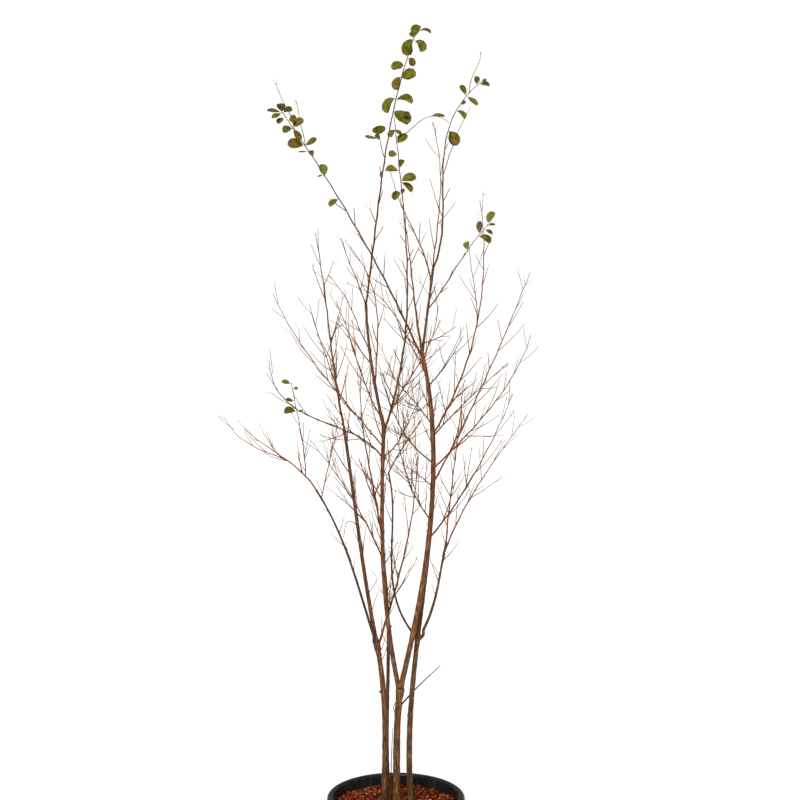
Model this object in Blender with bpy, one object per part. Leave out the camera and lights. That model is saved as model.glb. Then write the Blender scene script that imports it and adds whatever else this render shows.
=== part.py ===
"""A young crape myrtle with several stems, in a round nursery pot of bark mix.

The tree is bare but for a few leaves near the ends of its longest shoots. The
origin is the centre of the pot's flat underside, +Z is up and the face seen
from the front looks toward -Y. Everything is in metres.

Each limb is a tapering tube along a curve: it leaves its carrier at a height,
ends at a tip, and bows sideways and in depth by named amounts. Each mass of
twigs grows from such a limb by one rule with its own seed.
"""
import math
import random

import bpy
import bmesh
import numpy as np

# Nursery pot of the size sold as fifteen gallons.
POT_HEIGHT = 0.400
POT_BASE_RADIUS = 0.180
POT_WALL = 0.003
POT_FLOOR = 0.003
RIM_RADIUS = 0.221
RIM_WIDTH = 0.022
RIM_SKIRT = 0.362
POT_SEGMENTS = 48
DRAIN_HOLES = 6
DRAIN_RADIUS = 0.009
DRAIN_HEIGHT = 0.022

# Bark mix in the pot, slightly uneven, level where the stems stand.
MIX_TOP = 0.360
MIX_LEVEL_RADIUS = 0.068
MIX_UNEVEN = 0.004

# Free space left between two neighbouring solids.
GAP = 0.0003
TWIG_CLEARANCE = 0.0012

# The stems widen by this share over this height at the ground.
FLARE = 0.40
FLARE_HEIGHT = 0.036

# Rings are this far apart along a limb or along the stem of a mass.
LIMB_STEP = 0.065
TWIGGED_STEP = 0.080
STEM_SIDES = 10
BOUGH_SIDES = 8
TWIGGED_SIDES = 5

# Side twigs: their spacing along what carries them, the angle they leave at and
# the turn from one to the next in degrees, with how far each of them varies, how
# strongly a twig lifts and kinks, and where on its carrier the first and last are.
TWIG_SPACING = 0.064
TWIG_ANGLE = 32.0
TWIG_ANGLE_SPREAD = 10.0
TWIG_TURN = 137.5
TWIG_TURN_SPREAD = 25.0
TWIG_LIFT = 0.17
TWIG_KINK = 0.06
TWIG_FIRST = 0.14
TWIG_LAST = 0.96
TWIG_PIECES = 2

# A side twig's length to its mass's reach, at the foot of the carrier and at its
# tip. A twig in the way of another limb turns on by this angle and shortens.
TWIG_LONG = 1.80
TWIG_SHORT = 0.80
TWIG_TRIES = 5
TWIG_NEXT_TURN = 67.0
TWIG_NEXT_LENGTH = 0.9
TWIG_RADIUS = 0.0016
TWIG_TIP_RADIUS = 0.0008

# Leaves: length of a full one, width to length, thickness at the middle, and a
# power below one that crowds them toward the shoot's end.
LEAF_LENGTH = 0.046
LEAF_SHAPE = 0.80
LEAF_THICKNESS = 0.0012
LEAF_CROWDING = 0.7

BARK = (0.155, 0.085, 0.035)
TWIG_BARK = (0.190, 0.085, 0.045)
SHOOT_BARK = (0.150, 0.110, 0.040)
POT_BLACK = (0.012, 0.012, 0.013)
MIX_BROWN = (0.180, 0.045, 0.018)

UP = np.array([0.0, 0.0, 1.0])

for old in list(bpy.data.objects):
    bpy.data.objects.remove(old, do_unlink=True)


def material(name, colour, roughness):
    made = bpy.data.materials.new(name)
    made.use_nodes = True
    shader = made.node_tree.nodes["Principled BSDF"]
    shader.inputs["Base Color"].default_value = (*colour, 1.0)
    shader.inputs["Roughness"].default_value = roughness
    shader.inputs["Metallic"].default_value = 0.0
    return made


def new_object(name, points, faces):
    mesh = bpy.data.meshes.new(name)
    mesh.from_pydata([tuple(p) for p in points], [], faces)
    mesh.update()
    made = bpy.data.objects.new(name, mesh)
    bpy.context.collection.objects.link(made)
    return made


def unit(v):
    return v / np.linalg.norm(v)


def bowed(foot, tip, bow, sway, count):
    """Points of a limb from foot to tip. It bows sideways by bow[0] at one third
    of its length and bow[1] at two thirds, and in depth by sway at the middle."""
    t = np.linspace(0.0, 1.0, count)
    chord = tip - foot
    across = np.array([chord[2], 0.0, -chord[0]]) / math.hypot(chord[0], chord[2])
    first = 13.5 * t * (t - 2 / 3) * (t - 1)
    second = -13.5 * t * (t - 1 / 3) * (t - 1)
    points = foot + chord * t[:, None] + across * (bow[0] * first + bow[1] * second)[:, None]
    points[:, 1] += sway * 4 * t * (1 - t)
    return points


def tangents(points):
    return np.array([unit(v) for v in np.gradient(points, axis=0)])


def rings(points, radii, sides, first_axis=None):
    """Rings of a tube, each square to the curve and turned as little as possible."""
    axes = tangents(points)
    if first_axis is not None:
        axes[0] = first_axis
    side = unit(np.cross(axes[0], np.array([0.31, 0.95, 0.05])))
    around = np.arange(sides) * 2 * math.pi / sides
    made = []
    for point, axis, radius in zip(points, axes, radii):
        side = unit(side - axis * side.dot(axis))
        other = np.cross(axis, side)
        for a in around:
            made.append(point + radius * (math.cos(a) * side + math.sin(a) * other))
    return made


def tube_faces(count, sides):
    faces = [tuple(reversed(range(sides)))]
    for ring in range(count - 1):
        for k in range(sides):
            a = ring * sides + k
            b = ring * sides + (k + 1) % sides
            faces.append((a, b, b + sides, a + sides))
    faces.append(tuple(range((count - 1) * sides, count * sides)))
    return faces


def tube(name, points, radii, sides, first_axis=None):
    return new_object(name, rings(points, radii, sides, first_axis), tube_faces(len(points), sides))


def leaf(name, root, forward, normal, length):
    """A leaf blade of eight faces: four points of outline, one above and one below."""
    side = unit(np.cross(normal, forward))
    lift = unit(np.cross(forward, side))
    half = length * LEAF_SHAPE / 2
    widest = root + forward * length * 0.55
    points = [root, widest + side * half - lift * half * 0.15, root + forward * length,
              widest - side * half - lift * half * 0.15,
              widest + lift * LEAF_THICKNESS / 2, widest - lift * LEAF_THICKNESS / 2]
    faces = []
    for k in range(4):
        faces.append((k, (k + 1) % 4, 4))
        faces.append(((k + 1) % 4, k, 5))
    made = new_object(name, points, faces)
    bm = bmesh.new()
    bm.from_mesh(made.data)
    bmesh.ops.recalc_face_normals(bm, faces=bm.faces)
    bm.to_mesh(made.data)
    bm.free()
    return made


# Every limb is known by its curve: points and radii from foot to tip.
curves = {}
spans = []


def curve_at_height(name, height):
    points = curves[name][0]
    t = np.interp(height, points[:, 2], np.arange(len(points)))
    low = min(int(t), len(points) - 2)
    share = t - low
    return points[low] * (1 - share) + points[low + 1] * share


def keep_curve(name, owner, points, radii):
    curves[name] = (points, radii)
    for k in range(len(points) - 1):
        spans.append((points[k], points[k + 1], max(radii[k], radii[k + 1]), owner))


def taper(points, across):
    return np.linspace(across[0], across[1], len(points)) / 2


def limb_curve(name, owner, on, at, tip, bow, sway, across, step):
    """The curve of a limb that stands on the mix, on a carrier's tip or on its side."""
    tip = np.array(tip)
    first_axis = None
    if on is None:
        foot = np.array([at[0], at[1], MIX_TOP + GAP])
        first_axis = UP
    elif at == "tip":
        carrier = curves[on][0]
        first_axis = tangents(carrier)[-1]
        foot = carrier[-1] + first_axis * GAP
    else:
        foot = curve_at_height(on, at)
    count = max(4, round(float(np.linalg.norm(tip - foot)) / step) + 1)
    points = bowed(foot, tip, bow, sway, count)
    radii = taper(points, across)
    keep_curve(name, owner, points, radii)
    return first_axis


def ground_flare(points, radii):
    """Add rings near the ground, where a stem widens to its foot."""
    heights = FLARE_HEIGHT * np.array([0.0, 0.22, 0.56, 1.0])
    along = unit(points[1] - points[0])
    near = points[0] + along * heights[:, None]
    wide = radii[0] * (1 + FLARE * (1 - heights / FLARE_HEIGHT) ** 2)
    return np.vstack([near, points[1:]]), np.concatenate([wide, radii[1:]])


def swollen(points, radii, extra):
    """A copy of a limb, wider and longer by extra, that cuts what stands on the limb."""
    axes = tangents(points)
    longer = points.copy()
    longer[0] -= axes[0] * extra
    longer[-1] += axes[-1] * extra
    return longer, radii + extra


def closed(mesh):
    bm = bmesh.new()
    bm.from_mesh(mesh)
    good = len(bm.faces) > 0 and all(edge.is_manifold for edge in bm.edges)
    bm.free()
    return good


def drop_scraps(mesh):
    """Keep the largest connected body, and no sliver cut loose from it."""
    bm = bmesh.new()
    bm.from_mesh(mesh)
    bmesh.ops.triangulate(bm, faces=bm.faces)
    left = set(bm.verts)
    bodies = []
    while left:
        body = set()
        front = [left.pop()]
        while front:
            vert = front.pop()
            body.add(vert)
            for edge in vert.link_edges:
                other = edge.other_vert(vert)
                if other in left:
                    left.discard(other)
                    front.append(other)
        bodies.append(body)
    bodies.sort(key=len)
    for body in bodies[:-1]:
        bmesh.ops.delete(bm, geom=list(body), context="VERTS")
    bm.to_mesh(mesh)
    bm.free()


def apply_boolean(target, operation, cutters, solver):
    """Join or cut target with a collection of solids, and return the new mesh."""
    group = bpy.data.collections.new("group")
    bpy.context.scene.collection.children.link(group)
    for cutter in cutters:
        for owner in list(cutter.users_collection):
            owner.objects.unlink(cutter)
        group.objects.link(cutter)
    modifier = target.modifiers.new("join", "BOOLEAN")
    modifier.operation = operation
    modifier.operand_type = "COLLECTION"
    modifier.collection = group
    modifier.solver = solver
    bpy.context.view_layer.update()
    seen = target.evaluated_get(bpy.context.evaluated_depsgraph_get())
    mesh = bpy.data.meshes.new_from_object(seen)
    target.modifiers.remove(modifier)
    for cutter in cutters:
        bpy.context.scene.collection.objects.link(cutter)
        group.objects.unlink(cutter)
    bpy.data.collections.remove(group)
    return mesh


def boolean(target, operation, cutters):
    for solver in ("EXACT", "MANIFOLD"):
        mesh = apply_boolean(target, operation, cutters, solver)
        if closed(mesh):
            break
    for cutter in cutters:
        bpy.data.objects.remove(cutter, do_unlink=True)
    target.data = mesh
    drop_scraps(target.data)


def finish(made, look):
    made.data.materials.clear()
    made.data.materials.append(look)
    for polygon in made.data.polygons:
        polygon.use_smooth = True
        polygon.material_index = 0
    made.data.set_sharp_from_angle(angle=math.radians(40))


bark_look = material("bark", BARK, 0.80)
twig_look = material("twig bark", TWIG_BARK, 0.75)
shoot_look = material("green shoots", SHOOT_BARK, 0.70)
pot_look = material("black pot", POT_BLACK, 0.45)
mix_look = material("bark mix", MIX_BROWN, 0.95)


# The pot is one turned shell with a flat underside, a rolled rim and drain holes.
def turned(name, profile, segments):
    points = [(0.0, 0.0, profile[0][1])]
    for radius, height in profile[1:-1]:
        for k in range(segments):
            a = 2 * math.pi * k / segments
            points.append((radius * math.cos(a), radius * math.sin(a), height))
    points.append((0.0, 0.0, profile[-1][1]))
    faces = []
    last = len(points) - 1
    count = len(profile) - 2
    for k in range(segments):
        n = (k + 1) % segments
        faces.append((0, 1 + n, 1 + k))
        for ring in range(count - 1):
            a = 1 + ring * segments
            faces.append((a + k, a + n, a + segments + n, a + segments + k))
        a = 1 + (count - 1) * segments
        faces.append((a + k, a + n, last))
    return new_object(name, points, faces)


def wall_radius(height):
    """Outside radius of the pot's wall, which widens from its base to the rim's skirt."""
    top = RIM_RADIUS - RIM_WIDTH + POT_WALL
    return POT_BASE_RADIUS + (top - POT_BASE_RADIUS) * height / RIM_SKIRT


def inner_radius(height):
    """Inside radius of the pot, from a small fillet at its floor up to the rim."""
    low = POT_BASE_RADIUS - POT_WALL - 0.003
    high = wall_radius(RIM_SKIRT) - POT_WALL
    return low + (high - low) * (height - POT_FLOOR) / (RIM_SKIRT - POT_FLOOR)


rim_inside = RIM_RADIUS - RIM_WIDTH
pot_profile = [(0.0, 0.0), (POT_BASE_RADIUS - 0.006, 0.0), (POT_BASE_RADIUS, 0.006),
               (wall_radius(RIM_SKIRT), RIM_SKIRT), (RIM_RADIUS - 0.004, RIM_SKIRT + 0.001),
               (RIM_RADIUS, RIM_SKIRT + 0.006), (RIM_RADIUS, POT_HEIGHT - 0.010),
               (RIM_RADIUS - 0.003, POT_HEIGHT - 0.003), (RIM_RADIUS - 0.009, POT_HEIGHT),
               (rim_inside + 0.006, POT_HEIGHT), (rim_inside + 0.001, POT_HEIGHT - 0.003),
               (rim_inside, POT_HEIGHT - 0.008), (inner_radius(RIM_SKIRT), RIM_SKIRT),
               (inner_radius(POT_FLOOR), POT_FLOOR), (0.0, POT_FLOOR)]
pot = turned("pot", pot_profile, POT_SEGMENTS)
drains = []
for k in range(DRAIN_HOLES):
    a = 2 * math.pi * (k + 0.5) / DRAIN_HOLES
    out = np.array([math.cos(a), math.sin(a), 0.0])
    middle = out * wall_radius(DRAIN_HEIGHT) + UP * DRAIN_HEIGHT
    drains.append(tube("drain", np.array([middle - out * 0.02, middle + out * 0.02]),
                       np.array([DRAIN_RADIUS, DRAIN_RADIUS]), 10))
boolean(pot, "DIFFERENCE", drains)
finish(pot, pot_look)

# The mix fills the pot to below its rim. Its top is uneven around a level middle.
mix_rng = random.Random(3)
mix_edge_radius = inner_radius(MIX_TOP - MIX_UNEVEN) - GAP
mix_profile = [(0.0, POT_FLOOR + GAP), (inner_radius(POT_FLOOR) - GAP, POT_FLOOR + GAP),
               (mix_edge_radius, MIX_TOP - MIX_UNEVEN),
               (mix_edge_radius - 0.022, MIX_TOP), (mix_edge_radius - 0.060, MIX_TOP + 0.002),
               (MIX_LEVEL_RADIUS + 0.030, MIX_TOP), (MIX_LEVEL_RADIUS, MIX_TOP), (0.0, MIX_TOP)]
mix = turned("potting_mix", mix_profile, POT_SEGMENTS)
for vertex in mix.data.vertices:
    radius = math.hypot(vertex.co.x, vertex.co.y)
    if vertex.co.z > MIX_TOP - 0.002 and MIX_LEVEL_RADIUS + 0.010 < radius < mix_edge_radius - 0.010:
        vertex.co.z += mix_rng.uniform(-MIX_UNEVEN, MIX_UNEVEN)
finish(mix, mix_look)

# The limbs, from the ground up. A stem stands at its x and y on the mix, and a
# bough leaves its carrier at a height or goes on from its tip. Sizes across are
# at the foot and at the tip.
LIMBS = [
    dict(name="stem_left", on=None, at=(-0.040, -0.010), tip=(-0.062, -0.030, 0.895),
         bow=(0.013, 0.016), sway=0.0, across=(0.0205, 0.0160)),
    dict(name="stem_centre", on=None, at=(0.002, -0.004), tip=(0.014, -0.004, 0.740),
         bow=(-0.004, -0.006), sway=0.0, across=(0.0240, 0.0205)),
    dict(name="stem_right", on=None, at=(0.050, 0.020), tip=(0.085, 0.018, 1.820),
         bow=(0.003, 0.045), sway=0.008, across=(0.0200, 0.0080)),
    dict(name="stem_back", on=None, at=(-0.021, 0.040), tip=(-0.039, 0.050, 1.120),
         bow=(-0.002, 0.008), sway=0.010, across=(0.0130, 0.0100)),
    dict(name="bough_left", on="stem_left", at="tip", tip=(-0.162, -0.070, 1.570),
         bow=(-0.005, -0.003), sway=0.0, across=(0.0135, 0.0095)),
    dict(name="bough_outer_left", on="stem_left", at=0.880, tip=(-0.255, -0.020, 1.378),
         bow=(0.015, 0.022), sway=-0.040, across=(0.0090, 0.0055)),
    dict(name="bough_centre_right", on="stem_centre", at="tip", tip=(0.082, -0.016, 1.825),
         bow=(0.051, 0.059), sway=-0.010, across=(0.0180, 0.0095)),
    dict(name="bough_centre_left", on="stem_centre", at=0.725, tip=(-0.039, 0.031, 1.578),
         bow=(-0.027, -0.023), sway=0.0, across=(0.0160, 0.0115)),
    dict(name="bough_top", on="bough_centre_left", at="tip", tip=(-0.098, 0.050, 1.975),
         bow=(-0.009, -0.009), sway=0.0, across=(0.0105, 0.0075)),
    dict(name="bough_crossing_low", on="bough_centre_right", at=0.919, tip=(-0.023, -0.090, 1.436),
         bow=(-0.039, -0.014), sway=0.0, across=(0.0068, 0.0050)),
    dict(name="bough_right_upper", on="stem_right", at="tip", tip=(0.120, 0.022, 2.090),
         bow=(0.0, 0.0), sway=0.0, across=(0.0080, 0.0070)),
    dict(name="bough_right_low", on="stem_right", at=0.890, tip=(0.164, 0.070, 1.200),
         bow=(0.017, 0.011), sway=0.0, across=(0.0100, 0.0062)),
]

# The masses of twigs. Each grows on one limb, from its tip or from a height on
# its side, and may fork again at a height of its own. A leafy one has its leaves
# on the last share of its length.
MASSES = [
    dict(name="leafy_top", on="bough_top", at="tip", tip=(0.068, 0.030, 2.862),
         bow=(-0.018, -0.028), sway=0.0, across=(0.0072, 0.0025), reach=0.07, leaves=22, leafy=0.52,
         forks=[dict(at=2.450, tip=(-0.067, 0.020, 2.540), bow=(0.0, 0.004), across=(0.0031, 0.0016),
                     leaves=4, leafy=0.40)]),
    dict(name="twigs_top_left", on="bough_top", at=1.955, tip=(-0.173, -0.060, 2.176),
         bow=(0.005, 0.0), sway=0.0, across=(0.0045, 0.0018), reach=0.07),
    dict(name="twigs_left_top", on="bough_left", at="tip", tip=(-0.249, -0.120, 2.183),
         bow=(-0.004, 0.0), sway=0.0, across=(0.0079, 0.0021), reach=0.10,
         forks=[dict(at=1.69, tip=(-0.281, 0.020, 1.978), bow=(0.0, -0.003), across=(0.0038, 0.0017))]),
    dict(name="leafy_outer_left", on="bough_outer_left", at="tip", tip=(-0.468, -0.120, 1.575),
         bow=(0.013, 0.004), sway=0.0, across=(0.0054, 0.0018), reach=0.07,
         forks=[dict(at=1.476, tip=(-0.546, -0.020, 1.608), bow=(-0.018, -0.024), across=(0.0036, 0.0017)),
                dict(at=1.420, tip=(-0.320, -0.180, 1.720), bow=(0.007, 0.005), across=(0.0038, 0.0018),
                     leaves=6, leafy=0.55)]),
    dict(name="twigs_outer_left_up", on="bough_outer_left", at=1.350, tip=(-0.191, 0.100, 1.606),
         bow=(0.0, 0.003), sway=0.0, across=(0.0038, 0.0018), reach=0.07),
    dict(name="twigs_long_left_low", on="bough_centre_left", at=1.474, tip=(-0.389, -0.160, 1.788),
         bow=(-0.010, -0.058), sway=-0.030, across=(0.0054, 0.0018), reach=0.08),
    dict(name="twigs_long_left_high", on="bough_centre_left", at=1.513, tip=(-0.406, 0.100, 2.018),
         bow=(-0.017, -0.024), sway=0.020, across=(0.0054, 0.0018), reach=0.08),
    dict(name="twigs_cross_left_low", on="bough_centre_left", at=1.149, tip=(-0.289, 0.160, 1.531),
         bow=(0.015, 0.015), sway=0.020, across=(0.0059, 0.0018), reach=0.09),
    dict(name="twigs_left_front", on="bough_top", at=1.600, tip=(-0.180, -0.220, 1.964),
         bow=(-0.009, -0.002), sway=0.0, across=(0.0046, 0.0017), reach=0.10),
    dict(name="twigs_left_back", on="bough_top", at=1.779, tip=(-0.204, 0.260, 1.944),
         bow=(0.0, 0.004), sway=0.0, across=(0.0041, 0.0017), reach=0.10),
    dict(name="twigs_left_back_high", on="bough_top", at=1.827, tip=(-0.228, 0.160, 2.081),
         bow=(0.007, 0.015), sway=0.0, across=(0.0041, 0.0017), reach=0.10),
    dict(name="twigs_second_leader", on="bough_top", at=1.712, tip=(-0.141, -0.140, 2.137),
         bow=(0.035, 0.048), sway=-0.020, across=(0.0054, 0.0017), reach=0.10),
    dict(name="twigs_stem_back", on="stem_back", at="tip", tip=(-0.110, 0.240, 1.816),
         bow=(-0.008, -0.027), sway=0.0, across=(0.0084, 0.0018), reach=0.11),
    dict(name="leafy_second_top", on="bough_centre_left", at=1.566, tip=(-0.006, -0.030, 2.563),
         bow=(0.060, 0.045), sway=-0.040, across=(0.0078, 0.0023), reach=0.09, leaves=13, leafy=0.66,
         forks=[dict(at=2.500, tip=(0.168, -0.060, 2.540), bow=(-0.016, -0.036), across=(0.0028, 0.0016),
                     leaves=2, leafy=0.60)]),
    dict(name="twigs_crossing_long", on="bough_centre_left", at=1.545, tip=(0.127, 0.160, 2.044),
         bow=(0.013, 0.047), sway=0.060, across=(0.0054, 0.0017), reach=0.10),
    dict(name="twigs_centre_front", on="bough_centre_left", at=1.481, tip=(0.088, -0.260, 1.683),
         bow=(0.013, 0.002), sway=0.0, across=(0.0046, 0.0017), reach=0.10),
    dict(name="twigs_crossing_low", on="bough_crossing_low", at="tip", tip=(0.086, -0.200, 1.623),
         bow=(-0.003, 0.0), sway=0.0, across=(0.0051, 0.0017), reach=0.10),
    dict(name="twigs_inner_left", on="stem_left", at=0.875, tip=(0.071, 0.200, 1.489),
         bow=(0.022, 0.026), sway=0.045, across=(0.0085, 0.0021), reach=0.10),
    dict(name="twigs_inner_crossing", on="bough_centre_right", at=1.464, tip=(-0.048, -0.200, 1.750),
         bow=(-0.029, -0.025), sway=-0.030, across=(0.0051, 0.0017), reach=0.10),
    dict(name="twigs_upper_crossing", on="bough_centre_right", at=1.588, tip=(-0.031, -0.300, 1.750),
         bow=(0.005, 0.006), sway=0.0, across=(0.0046, 0.0017), reach=0.10),
    dict(name="twigs_middle_crossing", on="bough_centre_right", at=1.282, tip=(-0.002, -0.300, 1.583),
         bow=(-0.018, -0.015), sway=0.0, across=(0.0049, 0.0017), reach=0.10),
    dict(name="twigs_low_inner", on="bough_centre_right", at=1.387, tip=(0.019, -0.300, 1.479),
         bow=(0.003, 0.002), sway=0.0, across=(0.0041, 0.0017), reach=0.09),
    dict(name="twigs_centre_top", on="bough_centre_right", at="tip", tip=(0.029, 0.080, 2.252),
         bow=(-0.002, 0.0), sway=0.0, across=(0.0082, 0.0019), reach=0.10),
    dict(name="leafy_left_shoot", on="bough_centre_right", at=1.786, tip=(-0.354, -0.140, 2.557),
         bow=(0.021, 0.021), sway=0.0, across=(0.0071, 0.0023), reach=0.08, leaves=15, leafy=0.60,
         forks=[dict(at=2.500, tip=(-0.370, -0.150, 2.640), bow=(0.004, 0.0), across=(0.0028, 0.0016)),
                dict(at=2.450, tip=(-0.312, -0.110, 2.600), bow=(0.0, 0.0), across=(0.0028, 0.0016))]),
    dict(name="twigs_left_of_shoot", on="bough_centre_right", at=1.770, tip=(-0.106, -0.260, 2.011),
         bow=(0.013, 0.026), sway=0.0, across=(0.0041, 0.0017), reach=0.08),
    dict(name="leafy_right_shoot", on="bough_right_upper", at="tip", tip=(0.279, 0.080, 2.708),
         bow=(-0.021, -0.064), sway=0.0, across=(0.0067, 0.0021), reach=0.06, leaves=8, leafy=0.62,
         forks=[dict(at=2.397, tip=(0.251, 0.160, 2.647), bow=(-0.006, -0.008), across=(0.0033, 0.0017)),
                dict(at=2.670, tip=(0.275, 0.085, 2.810), bow=(-0.006, 0.004), across=(0.0028, 0.0016))]),
    dict(name="twigs_right_twin", on="bough_right_upper", at=2.060, tip=(0.114, -0.060, 2.543),
         bow=(0.018, 0.027), sway=0.0, across=(0.0045, 0.0017), reach=0.07),
    dict(name="leafy_dark_shoot", on="bough_right_upper", at=2.039, tip=(-0.017, 0.140, 2.428),
         bow=(0.009, -0.004), sway=0.0, across=(0.0051, 0.0018), reach=0.07, leaves=4, leafy=0.80),
    dict(name="leafy_right_low_shoot", on="bough_right_upper", at=1.958, tip=(0.299, -0.120, 2.221),
         bow=(-0.002, -0.008), sway=0.0, across=(0.0046, 0.0018), reach=0.06, leaves=6, leafy=0.66),
    dict(name="twigs_right_low_up", on="bough_right_low", at="tip", tip=(0.213, -0.100, 1.727),
         bow=(-0.002, 0.0), sway=0.0, across=(0.0054, 0.0018), reach=0.09),
    dict(name="twigs_right_low_out", on="bough_right_low", at=1.160, tip=(0.446, 0.200, 1.618),
         bow=(-0.020, -0.015), sway=0.0, across=(0.0054, 0.0018), reach=0.09),
    dict(name="twigs_right_first", on="bough_centre_right", at=1.221, tip=(0.366, -0.100, 1.684),
         bow=(0.016, 0.014), sway=-0.050, across=(0.0059, 0.0018), reach=0.09),
    dict(name="twigs_right_second", on="bough_centre_right", at=1.397, tip=(0.403, -0.240, 2.049),
         bow=(0.010, 0.010), sway=-0.020, across=(0.0059, 0.0018), reach=0.09),
    dict(name="twigs_right_third", on="bough_centre_right", at=1.445, tip=(0.457, 0.200, 1.885),
         bow=(0.030, 0.037), sway=0.050, across=(0.0056, 0.0018), reach=0.09),
    dict(name="twigs_right_back", on="bough_centre_right", at=1.547, tip=(0.393, 0.360, 1.796),
         bow=(-0.004, -0.003), sway=0.030, across=(0.0051, 0.0017), reach=0.10),
    dict(name="twigs_right_tall", on="bough_centre_right", at=1.553, tip=(0.271, 0.020, 2.311),
         bow=(0.061, 0.059), sway=-0.040, across=(0.0064, 0.0018), reach=0.08,
         forks=[dict(at=1.906, tip=(0.231, -0.060, 2.145), bow=(0.006, 0.002), across=(0.0033, 0.0017))]),
    dict(name="twigs_right_front", on="bough_centre_right", at=1.710, tip=(0.200, -0.280, 1.855),
         bow=(0.008, 0.007), sway=0.0, across=(0.0044, 0.0017), reach=0.10),
    dict(name="twigs_right_back_high", on="bough_right_upper", at=1.849, tip=(0.205, 0.240, 1.915),
         bow=(0.006, 0.004), sway=0.0, across=(0.0038, 0.0017), reach=0.09),
    dict(name="dead_stick", on="stem_centre", at=0.676, tip=(0.148, 0.160, 0.775),
         bow=(0.001, 0.002), sway=0.030, across=(0.0044, 0.0021), reach=0.0),
    dict(name="basal_shoot", on=None, at=(-0.016, 0.016), tip=(-0.010, 0.020, 0.606),
         bow=(-0.002, -0.002), sway=0.0, across=(0.0038, 0.0018), reach=0.0),
]

for limb in LIMBS:
    limb["axis"] = limb_curve(limb["name"], limb["name"], limb["on"], limb["at"], limb["tip"],
                              limb["bow"], limb["sway"], limb["across"], LIMB_STEP)
for mass in MASSES:
    mass["axis"] = limb_curve(mass["name"], mass["name"], mass["on"], mass["at"], mass["tip"],
                              mass["bow"], mass["sway"], mass["across"], TWIGGED_STEP)
    for number, fork in enumerate(mass.get("forks", [])):
        fork["name"] = mass["name"] + str(number)
        limb_curve(fork["name"], mass["name"], mass["name"], fork["at"], fork["tip"], fork["bow"], 0.0,
                   fork["across"], TWIGGED_STEP)


def span_distance(p, q, starts, ends):
    """Shortest distance from the span p-q to each of many spans."""
    d1 = q - p
    d2 = ends - starts
    r = p - starts
    a = d1.dot(d1)
    e = np.einsum("ij,ij->i", d2, d2)
    b = d2 @ d1
    c = r @ d1
    f = np.einsum("ij,ij->i", d2, r)
    denominator = a * e - b * b
    s = np.clip(np.where(denominator > 1e-14, (b * f - c * e) / np.maximum(denominator, 1e-14), 0.0), 0, 1)
    t = np.clip((b * s + f) / e, 0, 1)
    s = np.clip((b * t - c) / a, 0, 1)
    gap = (p + d1 * s[:, None]) - (starts + d2 * t[:, None])
    return np.sqrt(np.einsum("ij,ij->i", gap, gap))


def is_clear(points, radii, owner):
    """Whether a twig or a leaf stays clear of every other limb and mass."""
    others = [s for s in spans if s[3] != owner]
    starts = np.array([s[0] for s in others])
    ends = np.array([s[1] for s in others])
    wide = np.array([s[2] for s in others])
    for k in range(len(points) - 1):
        reach = wide + max(radii[k], radii[k + 1]) + TWIG_CLEARANCE
        if (span_distance(points[k], points[k + 1], starts, ends) < reach).any():
            return False
    return True


def keep_spans(points, radii, owner):
    for k in range(len(points) - 1):
        spans.append((points[k], points[k + 1], max(radii[k], radii[k + 1]), owner))


def twig_points(rng, foot, along, turn, length, pieces):
    """A side twig: it leaves at an angle, then lifts toward the light with a few kinks."""
    side = unit(np.cross(along, np.array([0.12, 0.99, 0.08])))
    other = np.cross(along, side)
    out = side * math.cos(turn) + other * math.sin(turn)
    angle = math.radians(TWIG_ANGLE + rng.uniform(-TWIG_ANGLE_SPREAD, TWIG_ANGLE_SPREAD))
    heading = unit(along * math.cos(angle) + out * math.sin(angle))
    points = [foot]
    for _ in range(pieces):
        kink = np.array([rng.uniform(-1, 1), rng.uniform(-1, 1), rng.uniform(-1, 1)]) * TWIG_KINK
        heading = unit(heading + UP * TWIG_LIFT + kink)
        points.append(points[-1] + heading * length / pieces)
    return np.array(points)


def point_along(points, radii, t):
    at = t * (len(points) - 1)
    low = min(int(at), len(points) - 2)
    share = at - low
    along = unit(points[low + 1] - points[low])
    return points[low] * (1 - share) + points[low + 1] * share, along, radii[low] * (1 - share) + radii[low + 1] * share


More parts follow.
